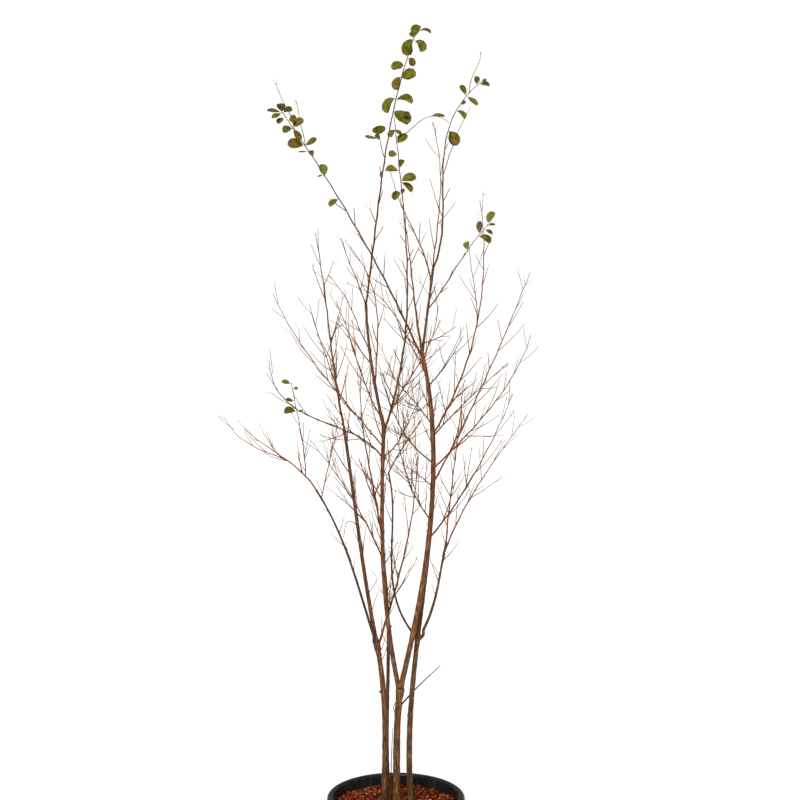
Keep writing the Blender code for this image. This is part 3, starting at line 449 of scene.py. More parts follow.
# A whip is placed as a limb is. Its reach is how long its side twigs are. One with
# leaves has so many in the solids, beyond the share of its length that leafy gives.
MASSES = [
    dict(name="leafy_top", on="bough_top", at="tip", tip=(0.068, 0.030, 2.862),
         bow=(-0.018, -0.028), across=(0.0072, 0.0025), reach=0.07, leaves=22, leafy=0.52,
         forks=[dict(at=2.450, tip=(-0.067, 0.020, 2.540), bow=(0.0, 0.004), across=(0.0031, 0.0016),
                     leaves=4, leafy=0.40)]),
    dict(name="twigs_top_left", on="bough_top", at=1.955, tip=(-0.173, -0.060, 2.176),
         bow=(0.005, 0.0), across=(0.0045, 0.0018), reach=0.07),
    dict(name="twigs_left_top", on="bough_left", at="tip", tip=(-0.249, -0.120, 2.183),
         bow=(-0.004, 0.0), across=(0.0079, 0.0021), reach=0.10,
         forks=[dict(at=1.69, tip=(-0.281, 0.020, 1.978), bow=(0.0, -0.003), across=(0.0038, 0.0017))]),
    dict(name="leafy_outer_left", on="bough_outer_left", at="tip", tip=(-0.468, -0.120, 1.575),
         bow=(0.013, 0.004), across=(0.0054, 0.0018), reach=0.07,
         forks=[dict(at=1.476, tip=(-0.546, -0.020, 1.608), bow=(-0.018, -0.024), across=(0.0036, 0.0017)),
                dict(at=1.420, tip=(-0.320, -0.180, 1.720), bow=(0.007, 0.005), across=(0.0038, 0.0018),
                     leaves=6, leafy=0.55)]),
    dict(name="twigs_outer_left_up", on="bough_outer_left", at=1.350, tip=(-0.191, 0.100, 1.606),
         bow=(0.0, 0.003), across=(0.0038, 0.0018), reach=0.07),
    dict(name="twigs_long_left_low", on="bough_centre_left", at=1.474, tip=(-0.389, -0.160, 1.788),
         bow=(-0.010, -0.058), sway=-0.030, across=(0.0054, 0.0018), reach=0.08),
    dict(name="twigs_long_left_high", on="bough_centre_left", at=1.513, tip=(-0.406, 0.100, 2.018),
         bow=(-0.017, -0.024), sway=0.020, across=(0.0054, 0.0018), reach=0.08),
    dict(name="twigs_cross_left_low", on="bough_centre_left", at=1.149, tip=(-0.289, 0.160, 1.531),
         bow=(0.015, 0.015), sway=0.020, across=(0.0059, 0.0018), reach=0.09),
    dict(name="twigs_left_front", on="bough_top", at=1.600, tip=(-0.180, -0.220, 1.964),
         bow=(-0.009, -0.002), across=(0.0046, 0.0017), reach=0.10),
    dict(name="twigs_left_back", on="bough_top", at=1.779, tip=(-0.204, 0.260, 1.944),
         bow=(0.0, 0.004), across=(0.0041, 0.0017), reach=0.10),
    dict(name="twigs_left_back_high", on="bough_top", at=1.827, tip=(-0.228, 0.160, 2.081),
         bow=(0.007, 0.015), across=(0.0041, 0.0017), reach=0.10),
    dict(name="twigs_second_leader", on="bough_top", at=1.712, tip=(-0.141, -0.140, 2.137),
         bow=(0.035, 0.048), sway=-0.020, across=(0.0054, 0.0017), reach=0.10),
    dict(name="twigs_stem_back", on="stem_back", at="tip", tip=(-0.110, 0.240, 1.816),
         bow=(-0.008, -0.027), across=(0.0084, 0.0018), reach=0.11),
    dict(name="leafy_second_top", on="bough_centre_left", at=1.566, tip=(-0.006, -0.030, 2.563),
         bow=(0.060, 0.045), sway=-0.040, across=(0.0078, 0.0023), reach=0.09, leaves=13, leafy=0.66,
         forks=[dict(at=2.500, tip=(0.168, -0.060, 2.540), bow=(-0.016, -0.036), across=(0.0028, 0.0016),
                     leaves=2, leafy=0.60)]),
    dict(name="twigs_crossing_long", on="bough_centre_left", at=1.545, tip=(0.127, 0.160, 2.044),
         bow=(0.013, 0.047), sway=0.060, across=(0.0054, 0.0017), reach=0.10),
    dict(name="twigs_centre_front", on="bough_centre_left", at=1.481, tip=(0.088, -0.260, 1.683),
         bow=(0.013, 0.002), across=(0.0046, 0.0017), reach=0.10),
    dict(name="twigs_crossing_low", on="bough_crossing_low", at="tip", tip=(0.086, -0.200, 1.623),
         bow=(-0.003, 0.0), across=(0.0051, 0.0017), reach=0.10),
    dict(name="twigs_inner_left", on="stem_left", at=0.875, tip=(0.071, 0.200, 1.489),
         bow=(0.022, 0.026), sway=0.045, across=(0.0085, 0.0021), reach=0.10),
    dict(name="twigs_inner_crossing", on="bough_centre_right", at=1.464, tip=(-0.048, -0.200, 1.750),
         bow=(-0.029, -0.025), sway=-0.030, across=(0.0051, 0.0017), reach=0.10),
    dict(name="twigs_upper_crossing", on="bough_centre_right", at=1.588, tip=(-0.031, -0.300, 1.750),
         bow=(0.005, 0.006), across=(0.0046, 0.0017), reach=0.10),
    dict(name="twigs_middle_crossing", on="bough_centre_right", at=1.282, tip=(-0.002, -0.300, 1.583),
         bow=(-0.018, -0.015), across=(0.0049, 0.0017), reach=0.10),
    dict(name="twigs_low_inner", on="bough_centre_right", at=1.387, tip=(0.019, -0.300, 1.479),
         bow=(0.003, 0.002), across=(0.0041, 0.0017), reach=0.09),
    dict(name="twigs_centre_top", on="bough_centre_right", at="tip", tip=(0.029, 0.080, 2.252),
         bow=(-0.002, 0.0), across=(0.0082, 0.0019), reach=0.10),
    dict(name="leafy_left_shoot", on="bough_centre_right", at=1.786, tip=(-0.354, -0.140, 2.557),
         bow=(0.021, 0.021), across=(0.0071, 0.0023), reach=0.08, leaves=15, leafy=0.60,
         forks=[dict(at=2.500, tip=(-0.370, -0.150, 2.640), bow=(0.004, 0.0), across=(0.0028, 0.0016)),
                dict(at=2.450, tip=(-0.312, -0.110, 2.600), bow=(0.0, 0.0), across=(0.0028, 0.0016))]),
    dict(name="twigs_left_of_shoot", on="bough_centre_right", at=1.770, tip=(-0.106, -0.260, 2.011),
         bow=(0.013, 0.026), across=(0.0041, 0.0017), reach=0.08),
    dict(name="leafy_right_shoot", on="bough_right_upper", at="tip", tip=(0.279, 0.080, 2.708),
         bow=(-0.021, -0.064), across=(0.0067, 0.0021), reach=0.06, leaves=8, leafy=0.62,
         forks=[dict(at=2.397, tip=(0.251, 0.160, 2.647), bow=(-0.006, -0.008), across=(0.0033, 0.0017)),
                dict(at=2.670, tip=(0.275, 0.085, 2.810), bow=(-0.006, 0.004), across=(0.0028, 0.0016))]),
    dict(name="twigs_right_twin", on="bough_right_upper", at=2.060, tip=(0.114, -0.060, 2.543),
         bow=(0.018, 0.027), across=(0.0045, 0.0017), reach=0.07),
    dict(name="leafy_dark_shoot", on="bough_right_upper", at=2.039, tip=(-0.017, 0.140, 2.428),
         bow=(0.009, -0.004), across=(0.0051, 0.0018), reach=0.07, leaves=4, leafy=0.80),
    dict(name="leafy_right_low_shoot", on="bough_right_upper", at=1.958, tip=(0.299, -0.120, 2.221),
         bow=(-0.002, -0.008), across=(0.0046, 0.0018), reach=0.06, leaves=6, leafy=0.66),
    dict(name="twigs_right_low_up", on="bough_right_low", at="tip", tip=(0.213, -0.100, 1.727),
         bow=(-0.002, 0.0), across=(0.0054, 0.0018), reach=0.09),
    dict(name="twigs_right_low_out", on="bough_right_low", at=1.160, tip=(0.446, 0.200, 1.618),
         bow=(-0.020, -0.015), across=(0.0054, 0.0018), reach=0.09),
    dict(name="twigs_right_first", on="bough_centre_right", at=1.221, tip=(0.366, -0.100, 1.684),
         bow=(0.016, 0.014), sway=-0.050, across=(0.0059, 0.0018), reach=0.09),
    dict(name="twigs_right_second", on="bough_centre_right", at=1.397, tip=(0.403, -0.240, 2.049),
         bow=(0.010, 0.010), sway=-0.020, across=(0.0059, 0.0018), reach=0.09),
    dict(name="twigs_right_third", on="bough_centre_right", at=1.445, tip=(0.457, 0.200, 1.885),
         bow=(0.030, 0.037), sway=0.050, across=(0.0056, 0.0018), reach=0.09),
    dict(name="twigs_right_back", on="bough_centre_right", at=1.547, tip=(0.393, 0.360, 1.796),
         bow=(-0.004, -0.003), sway=0.030, across=(0.0051, 0.0017), reach=0.10),
    dict(name="twigs_right_tall", on="bough_centre_right", at=1.553, tip=(0.271, 0.020, 2.311),
         bow=(0.061, 0.059), sway=-0.040, across=(0.0064, 0.0018), reach=0.08,
         forks=[dict(at=1.906, tip=(0.231, -0.060, 2.145), bow=(0.006, 0.002), across=(0.0033, 0.0017))]),
    dict(name="twigs_right_front", on="bough_centre_right", at=1.710, tip=(0.200, -0.280, 1.855),
         bow=(0.008, 0.007), across=(0.0044, 0.0017), reach=0.10),
    dict(name="twigs_right_back_high", on="bough_right_upper", at=1.849, tip=(0.205, 0.240, 1.915),
         bow=(0.006, 0.004), across=(0.0038, 0.0017), reach=0.09),
    dict(name="dead_stick", on="stem_centre", at=0.676, tip=(0.148, 0.160, 0.775),
         bow=(0.001, 0.002), sway=0.030, across=(0.0044, 0.0021), reach=0.0, shade=0.0, stoutness=1.25),
    dict(name="basal_shoot", on=None, at=(-0.016, 0.016), tip=(-0.010, 0.020, 0.606),
         bow=(-0.002, -0.002), across=(0.0038, 0.0018), reach=0.0),
]

for mass in MASSES:
    limb_curve(mass, mass["name"], mass["on"], WHIP_STEP)
    for number, fork in enumerate(mass.get("forks", [])):
        fork["name"] = mass["name"] + str(number)
        limb_curve(fork, mass["name"], mass["name"], WHIP_STEP)


# Stems and boughs are young wood in thin bark, olive brown and tan near the ground and
# redder above. The bark has low ridges, swells at each joint and at the ground, and
# shows small knobs where shoots were cut.
BARK_SIDES = 20
BARK_RELIEF = 0.085
LUMP_WAVE = 90
RIDGE_WAVE = 420
RIDGE_WAVE_ALONG = 45
FLARE = 0.40
FLARE_HEIGHT = 0.036
ELBOW_AT = 0.017
ELBOW_SPREAD = 0.012
JOINT_SWELL = 0.16
JOINT_SPREAD = 0.014
FOOT_SWELL = 0.30
FOOT_SPREAD = 0.016
# Bark colours from the dark to the pale of its grain, near the ground, above, and as
# painted shade on boughs that stand behind others.
LOW_BARK = [(0.36, (0.016, 0.005, 0.001)), (0.48, (0.082, 0.034, 0.006)), (0.64, (0.270, 0.130, 0.032))]
HIGH_BARK = [(0.35, (0.028, 0.008, 0.002)), (0.49, (0.112, 0.033, 0.006)), (0.66, (0.275, 0.102, 0.028))]
SHADED_BARK = [(0.36, (0.012, 0.005, 0.003)), (0.50, (0.034, 0.014, 0.007)), (0.68, (0.090, 0.044, 0.020))]
REDDENING_HEIGHTS = (0.5, 1.15)
STREAK_BROWN = (0.040, 0.011, 0.004)
MOSS_OLIVE = (0.070, 0.048, 0.012)
MOSS_SHARE = 0.30
# Painted highlights: small tan flecks on the bark stand for glints of light.
FLECK_HIGHLIGHT_TAN = (0.420, 0.240, 0.100)
KNOB_SIDES = 12
KNOB_RELIEF = 0.10
KNOB_SHADE = 0.3
# A knob's radius at its foot, its middle and its end, as shares of the one in its row.
KNOB_SHAPE = np.array([1.3, 1.0, 0.6])
# Each knob: its limb and height, the side it stands on, how far out, and its radius.
KNOBS = [("stem_left", 0.733, -1.0, 0.006, 0.0048), ("stem_left", 0.785, 0.6, 0.002, 0.0025),
         ("stem_right", 0.640, -0.9, 0.003, 0.0034), ("bough_centre_left", 0.937, 1.0, 0.004, 0.0038),
         ("stem_centre", 0.560, 0.8, 0.002, 0.0026), ("bough_centre_right", 1.245, -1.0, 0.004, 0.0026),
         ("stem_left", 0.850, 1.0, 0.003, 0.0028), ("stem_centre", 0.690, -0.9, 0.003, 0.0034)]


def new_bag():
    """A bag gathers the points, faces and shades of many small shapes for one piece."""
    return {"points": [], "faces": [], "shades": [], "count": 0}


def bag_object(name, bag):
    made = array_object(name, np.vstack(bag["points"]).tolist(), bag["faces"])
    made.data.shade_smooth()
    shades = made.data.attributes.new("shade", "FLOAT", "POINT")
    shades.data.foreach_set("value", np.concatenate(bag["shades"]))
    return made


def bark_wave(spot):
    """The bark's lumps and its ridges, which run up the limb."""
    ridge = Vector((spot.x * RIDGE_WAVE, spot.y * RIDGE_WAVE, spot.z * RIDGE_WAVE_ALONG))
    return noise.noise(spot * LUMP_WAVE) + 0.9 * noise.noise(ridge)


def add_tube(bag, points, radii, sides, relief=0.0, shade=0.5):
    """A round tube along a curve, its rings turned as little as possible, its ends closed.
    Its shade mixes its colour from darker browns to paler ones; on boughs behind
    others the darker browns are painted shade."""
    axes = tangents(points)
    around = np.arange(sides) * 2 * math.pi / sides
    cos, sin = np.cos(around)[:, None], np.sin(around)[:, None]
    side = unit(np.cross(axes[0], np.array([0.31, 0.95, 0.05])))
    for point, axis, radius in zip(points, axes, radii):
        side = unit(side - axis * side.dot(axis))
        ring = cos * side + sin * np.cross(axis, side)
        if relief:
            waves = [bark_wave(Vector(point + r * radius)) for r in ring]
            ring = ring * (1 + relief * np.array(waves))[:, None]
        bag["points"].append(point + ring * radius)
    start = bag["count"]
    k = np.arange(sides)
    for n in range(len(points) - 1):
        a = start + n * sides
        quads = np.stack([a + k, a + (k + 1) % sides, a + sides + (k + 1) % sides, a + sides + k], axis=1)
        bag["faces"].extend(quads.tolist())
    bag["faces"].append(list(range(start + sides - 1, start - 1, -1)))
    end = start + (len(points) - 1) * sides
    bag["faces"].append(list(range(end, end + sides)))
    bag["shades"].append(np.full(len(points) * sides, shade))
    bag["count"] += len(points) * sides


def shade_of(tree):
    """The shade that each tube was given."""
    made = tree.nodes.new("ShaderNodeAttribute")
    made.attribute_name = "shade"
    return made.outputs["Fac"]


def nearness(points, place, spread):
    """One at a place, and less for each point the further it is from there."""
    away = np.linalg.norm(points - place, axis=1)
    return np.exp(-(away / spread) ** 2)


bark_bag = new_bag()
for limb in LIMBS:
    points, radii = fine_curves[limb["name"]]
    thick = radii.copy()
    for carried in LIMBS + MASSES:
        if carried["on"] == limb["name"]:
            joint = fine_curves[carried["name"]][0][0]
            thick += carried["across"][0] * JOINT_SWELL * nearness(points, joint, JOINT_SPREAD)
    along = np.linalg.norm(points - points[0], axis=1)
    aside = np.array([limb.get("elbow", 0.0), 0, 0])
    points = points + aside * np.exp(-((along - ELBOW_AT) / ELBOW_SPREAD) ** 2)[:, None]
    if limb["on"] is None:
        thick *= 1 + FLARE * np.clip(1 - (points[:, 2] - MIX_TOP) / FLARE_HEIGHT, 0, 1) ** 2
    else:
        thick *= 1 + FOOT_SWELL * nearness(points, points[0], FOOT_SPREAD)
    add_tube(bark_bag, points, thick, BARK_SIDES, BARK_RELIEF, limb["shade"])
for name, height, side, length, radius in KNOBS:
    points, radii = fine_curves[name]
    k = int(np.abs(points[:, 2] - height).argmin())
    out = unit(np.array([side, -0.35, 0.40])) * (radii[k] + length)
    knob = np.array([points[k], points[k] + out * 0.7, points[k] + out])
    add_tube(bark_bag, knob, radius * KNOB_SHAPE, KNOB_SIDES, KNOB_RELIEF, KNOB_SHADE)
bark = bag_object("bark", bark_bag)
bark_look, tree, shader, place = new_look("crape myrtle bark", 0.55, 0.22)
height = tree.nodes.new("ShaderNodeSeparateXYZ")
tree.links.new(place, height.inputs["Vector"])
rise = tree.nodes.new("ShaderNodeMapRange")
rise.inputs["From Min"].default_value, rise.inputs["From Max"].default_value = REDDENING_HEIGHTS
tree.links.new(height.outputs["Z"], rise.inputs["Value"])
grain = noise_of(tree, stretched(tree, place, (170, 170, 20)), 1.6, 5.0, 0.65)
colour = mixed(tree, rise.outputs["Result"], ramp(tree, grain, LOW_BARK), ramp(tree, grain, HIGH_BARK))
# Painted shade: a low shade turns the bark to the shaded browns on boughs behind others.
colour = mixed(tree, shade_of(tree), ramp(tree, grain, SHADED_BARK), colour)
streaks = share_above(tree, noise_of(tree, stretched(tree, place, (380, 380, 14)), 1.0), 0.46, 0.64, 0.8)
colour = mixed(tree, streaks, colour, STREAK_BROWN)
moss = share_above(tree, noise_of(tree, stretched(tree, place, (40, 40, 9)), 1.2), 0.50, 0.66)
colour = mixed(tree, moss, colour, mixed(tree, MOSS_SHARE, colour, MOSS_OLIVE))
# Painted highlights: tan flecks scattered on the bark as small glints of light.
highlight_flecks = share_above(tree, noise_of(tree, stretched(tree, place, (260, 260, 90)), 1.0, 2.0), 0.66, 0.74)
colour = mixed(tree, highlight_flecks, colour, FLECK_HIGHLIGHT_TAN)
tree.links.new(colour, shader.inputs["Base Color"])
vary_roughness(tree, shader, grain, 0.42, 0.70)
add_bump(tree, shader, noise_of(tree, stretched(tree, place, (500, 500, 60)), 1.5, 4.0), 0.7, 0.0014)
finish_piece(bark, bark_look, [limb["name"] for limb in LIMBS])


# The whips carry side twigs by the solids' own rule, and finer twigs grow on those and
# between them. They crowd the inner crown and leave the outer ends nearly clean. All is
# bare young wood, red brown to grey brown, the finest ends paler.
UP = np.array([0.0, 0.0, 1.0])
TWIG_SPACING = 0.064
TWIG_ANGLE = 32.0
TWIG_ANGLE_SPREAD = 10.0
TWIG_TURN = 137.5
TWIG_TURN_SPREAD = 25.0
FINE_TURN_SPREAD = 40
SPRAY_TURN_SPREAD = 35
TWIG_LIFT = 0.17
TWIG_KINK = 0.06
TWIG_FIRST = 0.14
TWIG_LAST = 0.96
TWIG_LONG = 1.80
TWIG_SHORT = 0.80
TWIG_LENGTHS = (0.55, 1.15)
TWIG_RADIUS = 0.0016
TWIG_TIP_RADIUS = 0.0008
# A finer twig's radius is at most this share of what carries it.
FINE_SHARE = 0.75
TWIG_CLEARANCE = 0.0012
TWIG_TRIES = 5
TWIG_NEXT_TURN = 67.0
TWIG_NEXT_LENGTH = 0.9
LEAF_LENGTH = 0.046
LEAF_CROWDING = 0.7
# How a leaf of the solids stands: how far to the back or front, how far along its whip
# and how far down or up. Then the range of its size.
LEAF_OUT = (-0.7, 0.7)
LEAF_AHEAD = 0.25
LEAF_FALL = (-0.55, 0.35)
LEAF_SIZES = (0.60, 1.15)
# Below this height a twig is in the inner crown.
INNER_CROWN = 1.70
# Beyond these sides of the crown this share of the fine twigs is left out.
OPEN_SIDES = (-0.24, 0.15)
OPEN_SHARE = 0.60
# In the outer crown this share of the side twigs is cut short, and this share forks.
CUT_SHARE = 0.35
FORKED_SHARE = 0.5
# Whips bend and swell at joints so many steps apart.
WAVER = 0.0016
WAVER_STEPS = 6
WAVER_SHAPE = np.array([0.17, 0.33, 0.5, 0.67, 0.83, 1.0, 0.83, 0.67, 0.5, 0.33, 0.17])
SWELL_SHAPE = np.array([0.2, 1.0, 0.2])
SWELL = 0.12
# Thick twigs have more sides and more pieces than thin ones.
WHIP_SIDES = 8
STRAY_SIDES = 6
TWIG_SIDES = 5
FINE_SIDES = 4
TWIG_PIECES = 6
SPRAY_PIECES = 4
TIP_FORK_PIECES = 3
# Finer twigs grow from one share of a twig to another, shorter toward its tip.
SPRAY_FROM = 0.20
SPRAY_OVER = 0.72
SPRAY_SHORTENING = 0.6
SPRAY_LENGTHS = (0.35, 1.1)
SPRAY_LIFTS = (-0.2, 1.8)
SPRAY_KINK = 0.07
# Finer twigs: for each order its spacing, its longest share of the twig that carries
# it, its radius at foot and tip, its sides, its lift, and the least length that grows.
ORDERS = [dict(spacing=0.066, share=0.58, across=(0.00100, 0.00050), sides=4, lift=0.20, least=0.020),
          dict(spacing=0.050, share=0.45, across=(0.00060, 0.00038), sides=3, lift=0.06, least=0.012)]
# Short twigs: how much most of them are the shortest, the length of one piece, how much
# they curve up and kink, and their thickness at the foot, by length, and at the tip.
SHORT_MOSTLY = 1.3
SHORT_PIECE = 0.022
SHORT_CURVE = 0.80
SHORT_KINK = 0.10
SHORT_FOOT = 0.0008
SHORT_FOOT_BY_LENGTH = 0.011
SHORT_TIP = 0.0006
# Short twigs near a whip's foot: how far up it they grow, their spacing, the shortest,
# and the longest as a share of the whip's reach.
INNER_SHORT = dict(upto=0.30, spacing=0.036, shortest=0.030, longest=2.0)
OUTER_SHORT = dict(upto=0.12, spacing=0.040, shortest=0.012, longest=0.9)
# Short twigs straight on a bough: the share of it where they start, their spacing and
# the longest.
BOUGH_TWIGS = [("bough_left", 0.30, 0.040, 0.160), ("bough_centre_left", 0.34, 0.034, 0.170),
               ("bough_centre_right", 0.40, 0.034, 0.170), ("bough_outer_left", 0.40, 0.050, 0.080),
               ("bough_crossing_low", 0.35, 0.040, 0.120), ("bough_right_low", 0.45, 0.036, 0.090),
               ("bough_right_upper", 0.05, 0.034, 0.110), ("stem_right", 0.66, 0.046, 0.140),
               ("stem_back", 0.62, 0.046, 0.090)]
# The end of a whip or twig forks into one of these numbers of short fine twigs.
TIP_FORKS = (1, 2, 2, 3)
TIP_FORK_AT = (0.90, 0.99)
TIP_FORK_LENGTHS = (0.012, 0.034)
TIP_FORK_LIFT = 0.04
TIP_FORK_KINK = 0.08
TIP_FORK_RADII = (0.0006, 0.00035)
# Stray twigs, some broken or curled: the limb and the height each leaves, its steps to
# the side and up in millimetres, and its radius.
STRAY_TWIGS = [
    ("stem_centre", 0.694, [(-12, -3), (-6, -12), (2, -14), (8, -7)], 0.0014),
    ("stem_left", 0.830, [(10, 12), (8, 22), (4, 16)], 0.0014),
    ("stem_left", 0.860, [(12, 16), (7, 26), (5, 16)], 0.0013),
    ("bough_left", 1.046, [(22, 30), (10, 20), (-24, 30)], 0.0013),
    ("bough_left", 0.985, [(8, 30), (10, 27), (4, 12)], 0.0013),
    ("bough_right_low", 1.095, [(-14, 22), (-10, 16)], 0.0012),
    ("bough_right_low", 1.030, [(-8, 16), (-3, 18)], 0.0012),
    ("bough_left", 1.270, [(-14, 12), (-16, 4), (-8, -12), (-6, -40)], 0.0015),
    ("bough_outer_left", 1.130, [(-4, 26), (-14, 34), (-6, 30)], 0.0012),
    ("stem_back", 1.000, [(12, 20), (4, 30), (10, 18)], 0.0013),
]
# The dark and the pale of the grain, for shaded wood and for each kind in the light.
DARK_BROWNS = ((0.042, 0.013, 0.002), (0.108, 0.040, 0.006))
WHIP_BROWNS = ((0.094, 0.024, 0.004), (0.275, 0.084, 0.016))
LEAFY_BROWNS = ((0.066, 0.021, 0.004), (0.200, 0.072, 0.015))
TWIG_BROWNS = [((0.150, 0.050, 0.006), (0.370, 0.150, 0.022)), ((0.160, 0.066, 0.012), (0.380, 0.180, 0.044)),
               ((0.144, 0.052, 0.008), (0.340, 0.142, 0.028))]
TIP_BROWNS = ((0.190, 0.090, 0.044), (0.350, 0.200, 0.115))


def span_distance(p, q, starts, ends):
    """Shortest distance from the span p-q to each of many spans."""
    d1 = q - p
    d2 = ends - starts
    r = p - starts
    a = d1.dot(d1)
    e = np.einsum("ij,ij->i", d2, d2)
    b = d2 @ d1
    c = r @ d1
    f = np.einsum("ij,ij->i", d2, r)
    denominator = a * e - b * b
    s = np.clip(np.where(denominator > 1e-14, (b * f - c * e) / np.maximum(denominator, 1e-14), 0.0), 0, 1)
    t = np.clip((b * s + f) / e, 0, 1)
    s = np.clip((b * t - c) / a, 0, 1)
    gap = (p + d1 * s[:, None]) - (starts + d2 * t[:, None])
    return np.sqrt(np.einsum("ij,ij->i", gap, gap))


def is_clear(points, radii, owner):
    """Whether a twig or a leaf stays clear of every other limb and mass."""
    others = [s for s in spans if s[3] != owner]
    starts = np.array([s[0] for s in others])
    ends = np.array([s[1] for s in others])
    wide = np.array([s[2] for s in others])
    for k in range(len(points) - 1):
        reach = wide + max(radii[k], radii[k + 1]) + TWIG_CLEARANCE
        if (span_distance(points[k], points[k + 1], starts, ends) < reach).any():
            return False
    return True


def length_of(points):
    return float(np.linalg.norm(np.diff(points, axis=0), axis=1).sum())


def twig_points(rng, foot, along, turn, length, pieces, lift=TWIG_LIFT, kinks=TWIG_KINK):
    """A side twig: it leaves at an angle, then lifts toward the light with a few kinks."""
    side = unit(np.cross(along, np.array([0.12, 0.99, 0.08])))
    other = np.cross(along, side)
    out = side * math.cos(turn) + other * math.sin(turn)
    angle = math.radians(TWIG_ANGLE + rng.uniform(-TWIG_ANGLE_SPREAD, TWIG_ANGLE_SPREAD))
    heading = unit(along * math.cos(angle) + out * math.sin(angle))
    points = [foot]
    for _ in range(pieces):
        kink = np.array([rng.uniform(-1, 1), rng.uniform(-1, 1), rng.uniform(-1, 1)]) * kinks
        heading = unit(heading + UP * lift + kink)
        points.append(points[-1] + heading * length / pieces)
    return np.array(points)


def point_along(points, radii, t):
    """The point at a share of a curve, its direction there and the radius."""
    at = t * (len(points) - 1)
    low = min(int(at), len(points) - 2)
    share = at - low
    along = unit(points[low + 1] - points[low])
    radius = radii[low] * (1 - share) + radii[low + 1] * share
    return points[low] * (1 - share) + points[low + 1] * share, along, radius


def next_turn(rng, turn, spread):
    """Twigs stand round a stem, each about a golden angle on from the last."""
    return turn + math.radians(TWIG_TURN + rng.uniform(-spread, spread))


def side_twigs(mass, route, seed):
    """The first side twigs of one whip, as the solids have them, clear of all other limbs."""
    rng = random.Random(seed)
    points, radii = curves[route["name"]]
    leaves, leafy = route.get("leaves", 0), route.get("leafy", 1.0)
    count = int(length_of(points) / TWIG_SPACING) if mass["reach"] > 0 else 0
    turn = rng.uniform(0, 2 * math.pi)
    twigs = []
    for k in range(count):
        t = TWIG_FIRST + (TWIG_LAST - TWIG_FIRST) * (k + rng.uniform(0.2, 0.8)) / count
        if leaves and t > leafy:
            continue
        turn = next_turn(rng, turn, TWIG_TURN_SPREAD)
        foot, along, radius = point_along(points, radii, t)
        size = mass["reach"] * (TWIG_LONG + (TWIG_SHORT - TWIG_LONG) * t) * rng.uniform(*TWIG_LENGTHS)
        for _ in range(TWIG_TRIES):
            made = twig_points(rng, foot, along, turn, size, 2)
            wide = np.linspace(min(TWIG_RADIUS, radius * 0.8), TWIG_TIP_RADIUS, 3)
            if is_clear(made, wide, mass["name"]):
                twigs.append((made, wide))
                keep_spans(made, wide, mass["name"])
                break
            turn += math.radians(TWIG_NEXT_TURN)
            size *= TWIG_NEXT_LENGTH
    for k in range(leaves):
        keep_leaf_room(rng, mass["name"], k, *point_along(points, radii, leafy_share(k, leaves, leafy)))
    return twigs


def leafy_share(number, leaves, leafy):
    """How far along its whip a leaf of the solids stands."""
    return leafy + (1.0 - leafy) * ((number + 0.6) / leaves) ** LEAF_CROWDING


def keep_leaf_room(rng, owner, number, foot, along, radius):
    """Keep the room of a leaf of the solids, so that later twigs grow as they do there."""
    out = unit(np.array([1 if number % 2 else -1, rng.uniform(*LEAF_OUT), 0.0]))
    forward = unit(out + along * LEAF_AHEAD + UP * rng.uniform(*LEAF_FALL))
    # The solids draw a leaf's turn and its bend here.
    rng.uniform(-0.5, 0.5)
    rng.uniform(-0.1, 0.7)
    size = LEAF_LENGTH * rng.uniform(*LEAF_SIZES)
    root = foot - forward * radius * 0.8
    path = np.array([root, root + forward * size])
    half = (size * 0.3, size * 0.3)
    if is_clear(path, half, owner):
        keep_spans(path, half, owner)


def rounded(points, radii, pieces):
    """A rounder copy of a twig of two pieces, through its three points."""
    t = np.linspace(0, 1, pieces + 1)[:, None]
    bend = points[1] * 2 - (points[0] + points[2]) / 2
    way = points[0] * (1 - t) ** 2 + bend * 2 * t * (1 - t) + points[2] * t ** 2
    return way, np.linspace(radii[0], radii[-1], pieces + 1)


def is_drawn(points):
    """A fine twig stays within the box of the whole tree, and few grow at its open sides."""
    if not all(low < x < high for point in points for low, x, high in zip(cad_box[0], point, cad_box[1])):
        return False
    return OPEN_SIDES[0] < points[-1][0] < OPEN_SIDES[1] or fine_rng.random() > OPEN_SHARE


def add_sprays(points, radii, level, bag, shade):
    """Finer twigs on a twig, and finer ones on those."""
    order = ORDERS[level]
    length = length_of(points)
    count = int(length / order["spacing"] + fine_rng.random())
    turn = fine_rng.uniform(0, 2 * math.pi)
    for k in range(count):
        t = SPRAY_FROM + SPRAY_OVER * (k + fine_rng.uniform(0.1, 0.9)) / count
        turn = next_turn(fine_rng, turn, SPRAY_TURN_SPREAD)
        foot, along, radius = point_along(points, radii, t)
        size = length * order["share"] * (1.0 - SPRAY_SHORTENING * t) * fine_rng.uniform(*SPRAY_LENGTHS)
        if size < order["least"]:
            continue
        lift = order["lift"] * fine_rng.uniform(*SPRAY_LIFTS)
        made = twig_points(fine_rng, foot, along, turn, size, SPRAY_PIECES, lift, SPRAY_KINK)
        if not is_drawn(made):
            continue
        thick, thin = order["across"]
        wide = np.linspace(min(radius * FINE_SHARE, thick), thin, SPRAY_PIECES + 1)
        add_tube(tip_bag if level else bag, made, wide, order["sides"], shade=shade)
        if level + 1 < len(ORDERS):
            add_sprays(made, wide, level + 1, bag, shade)


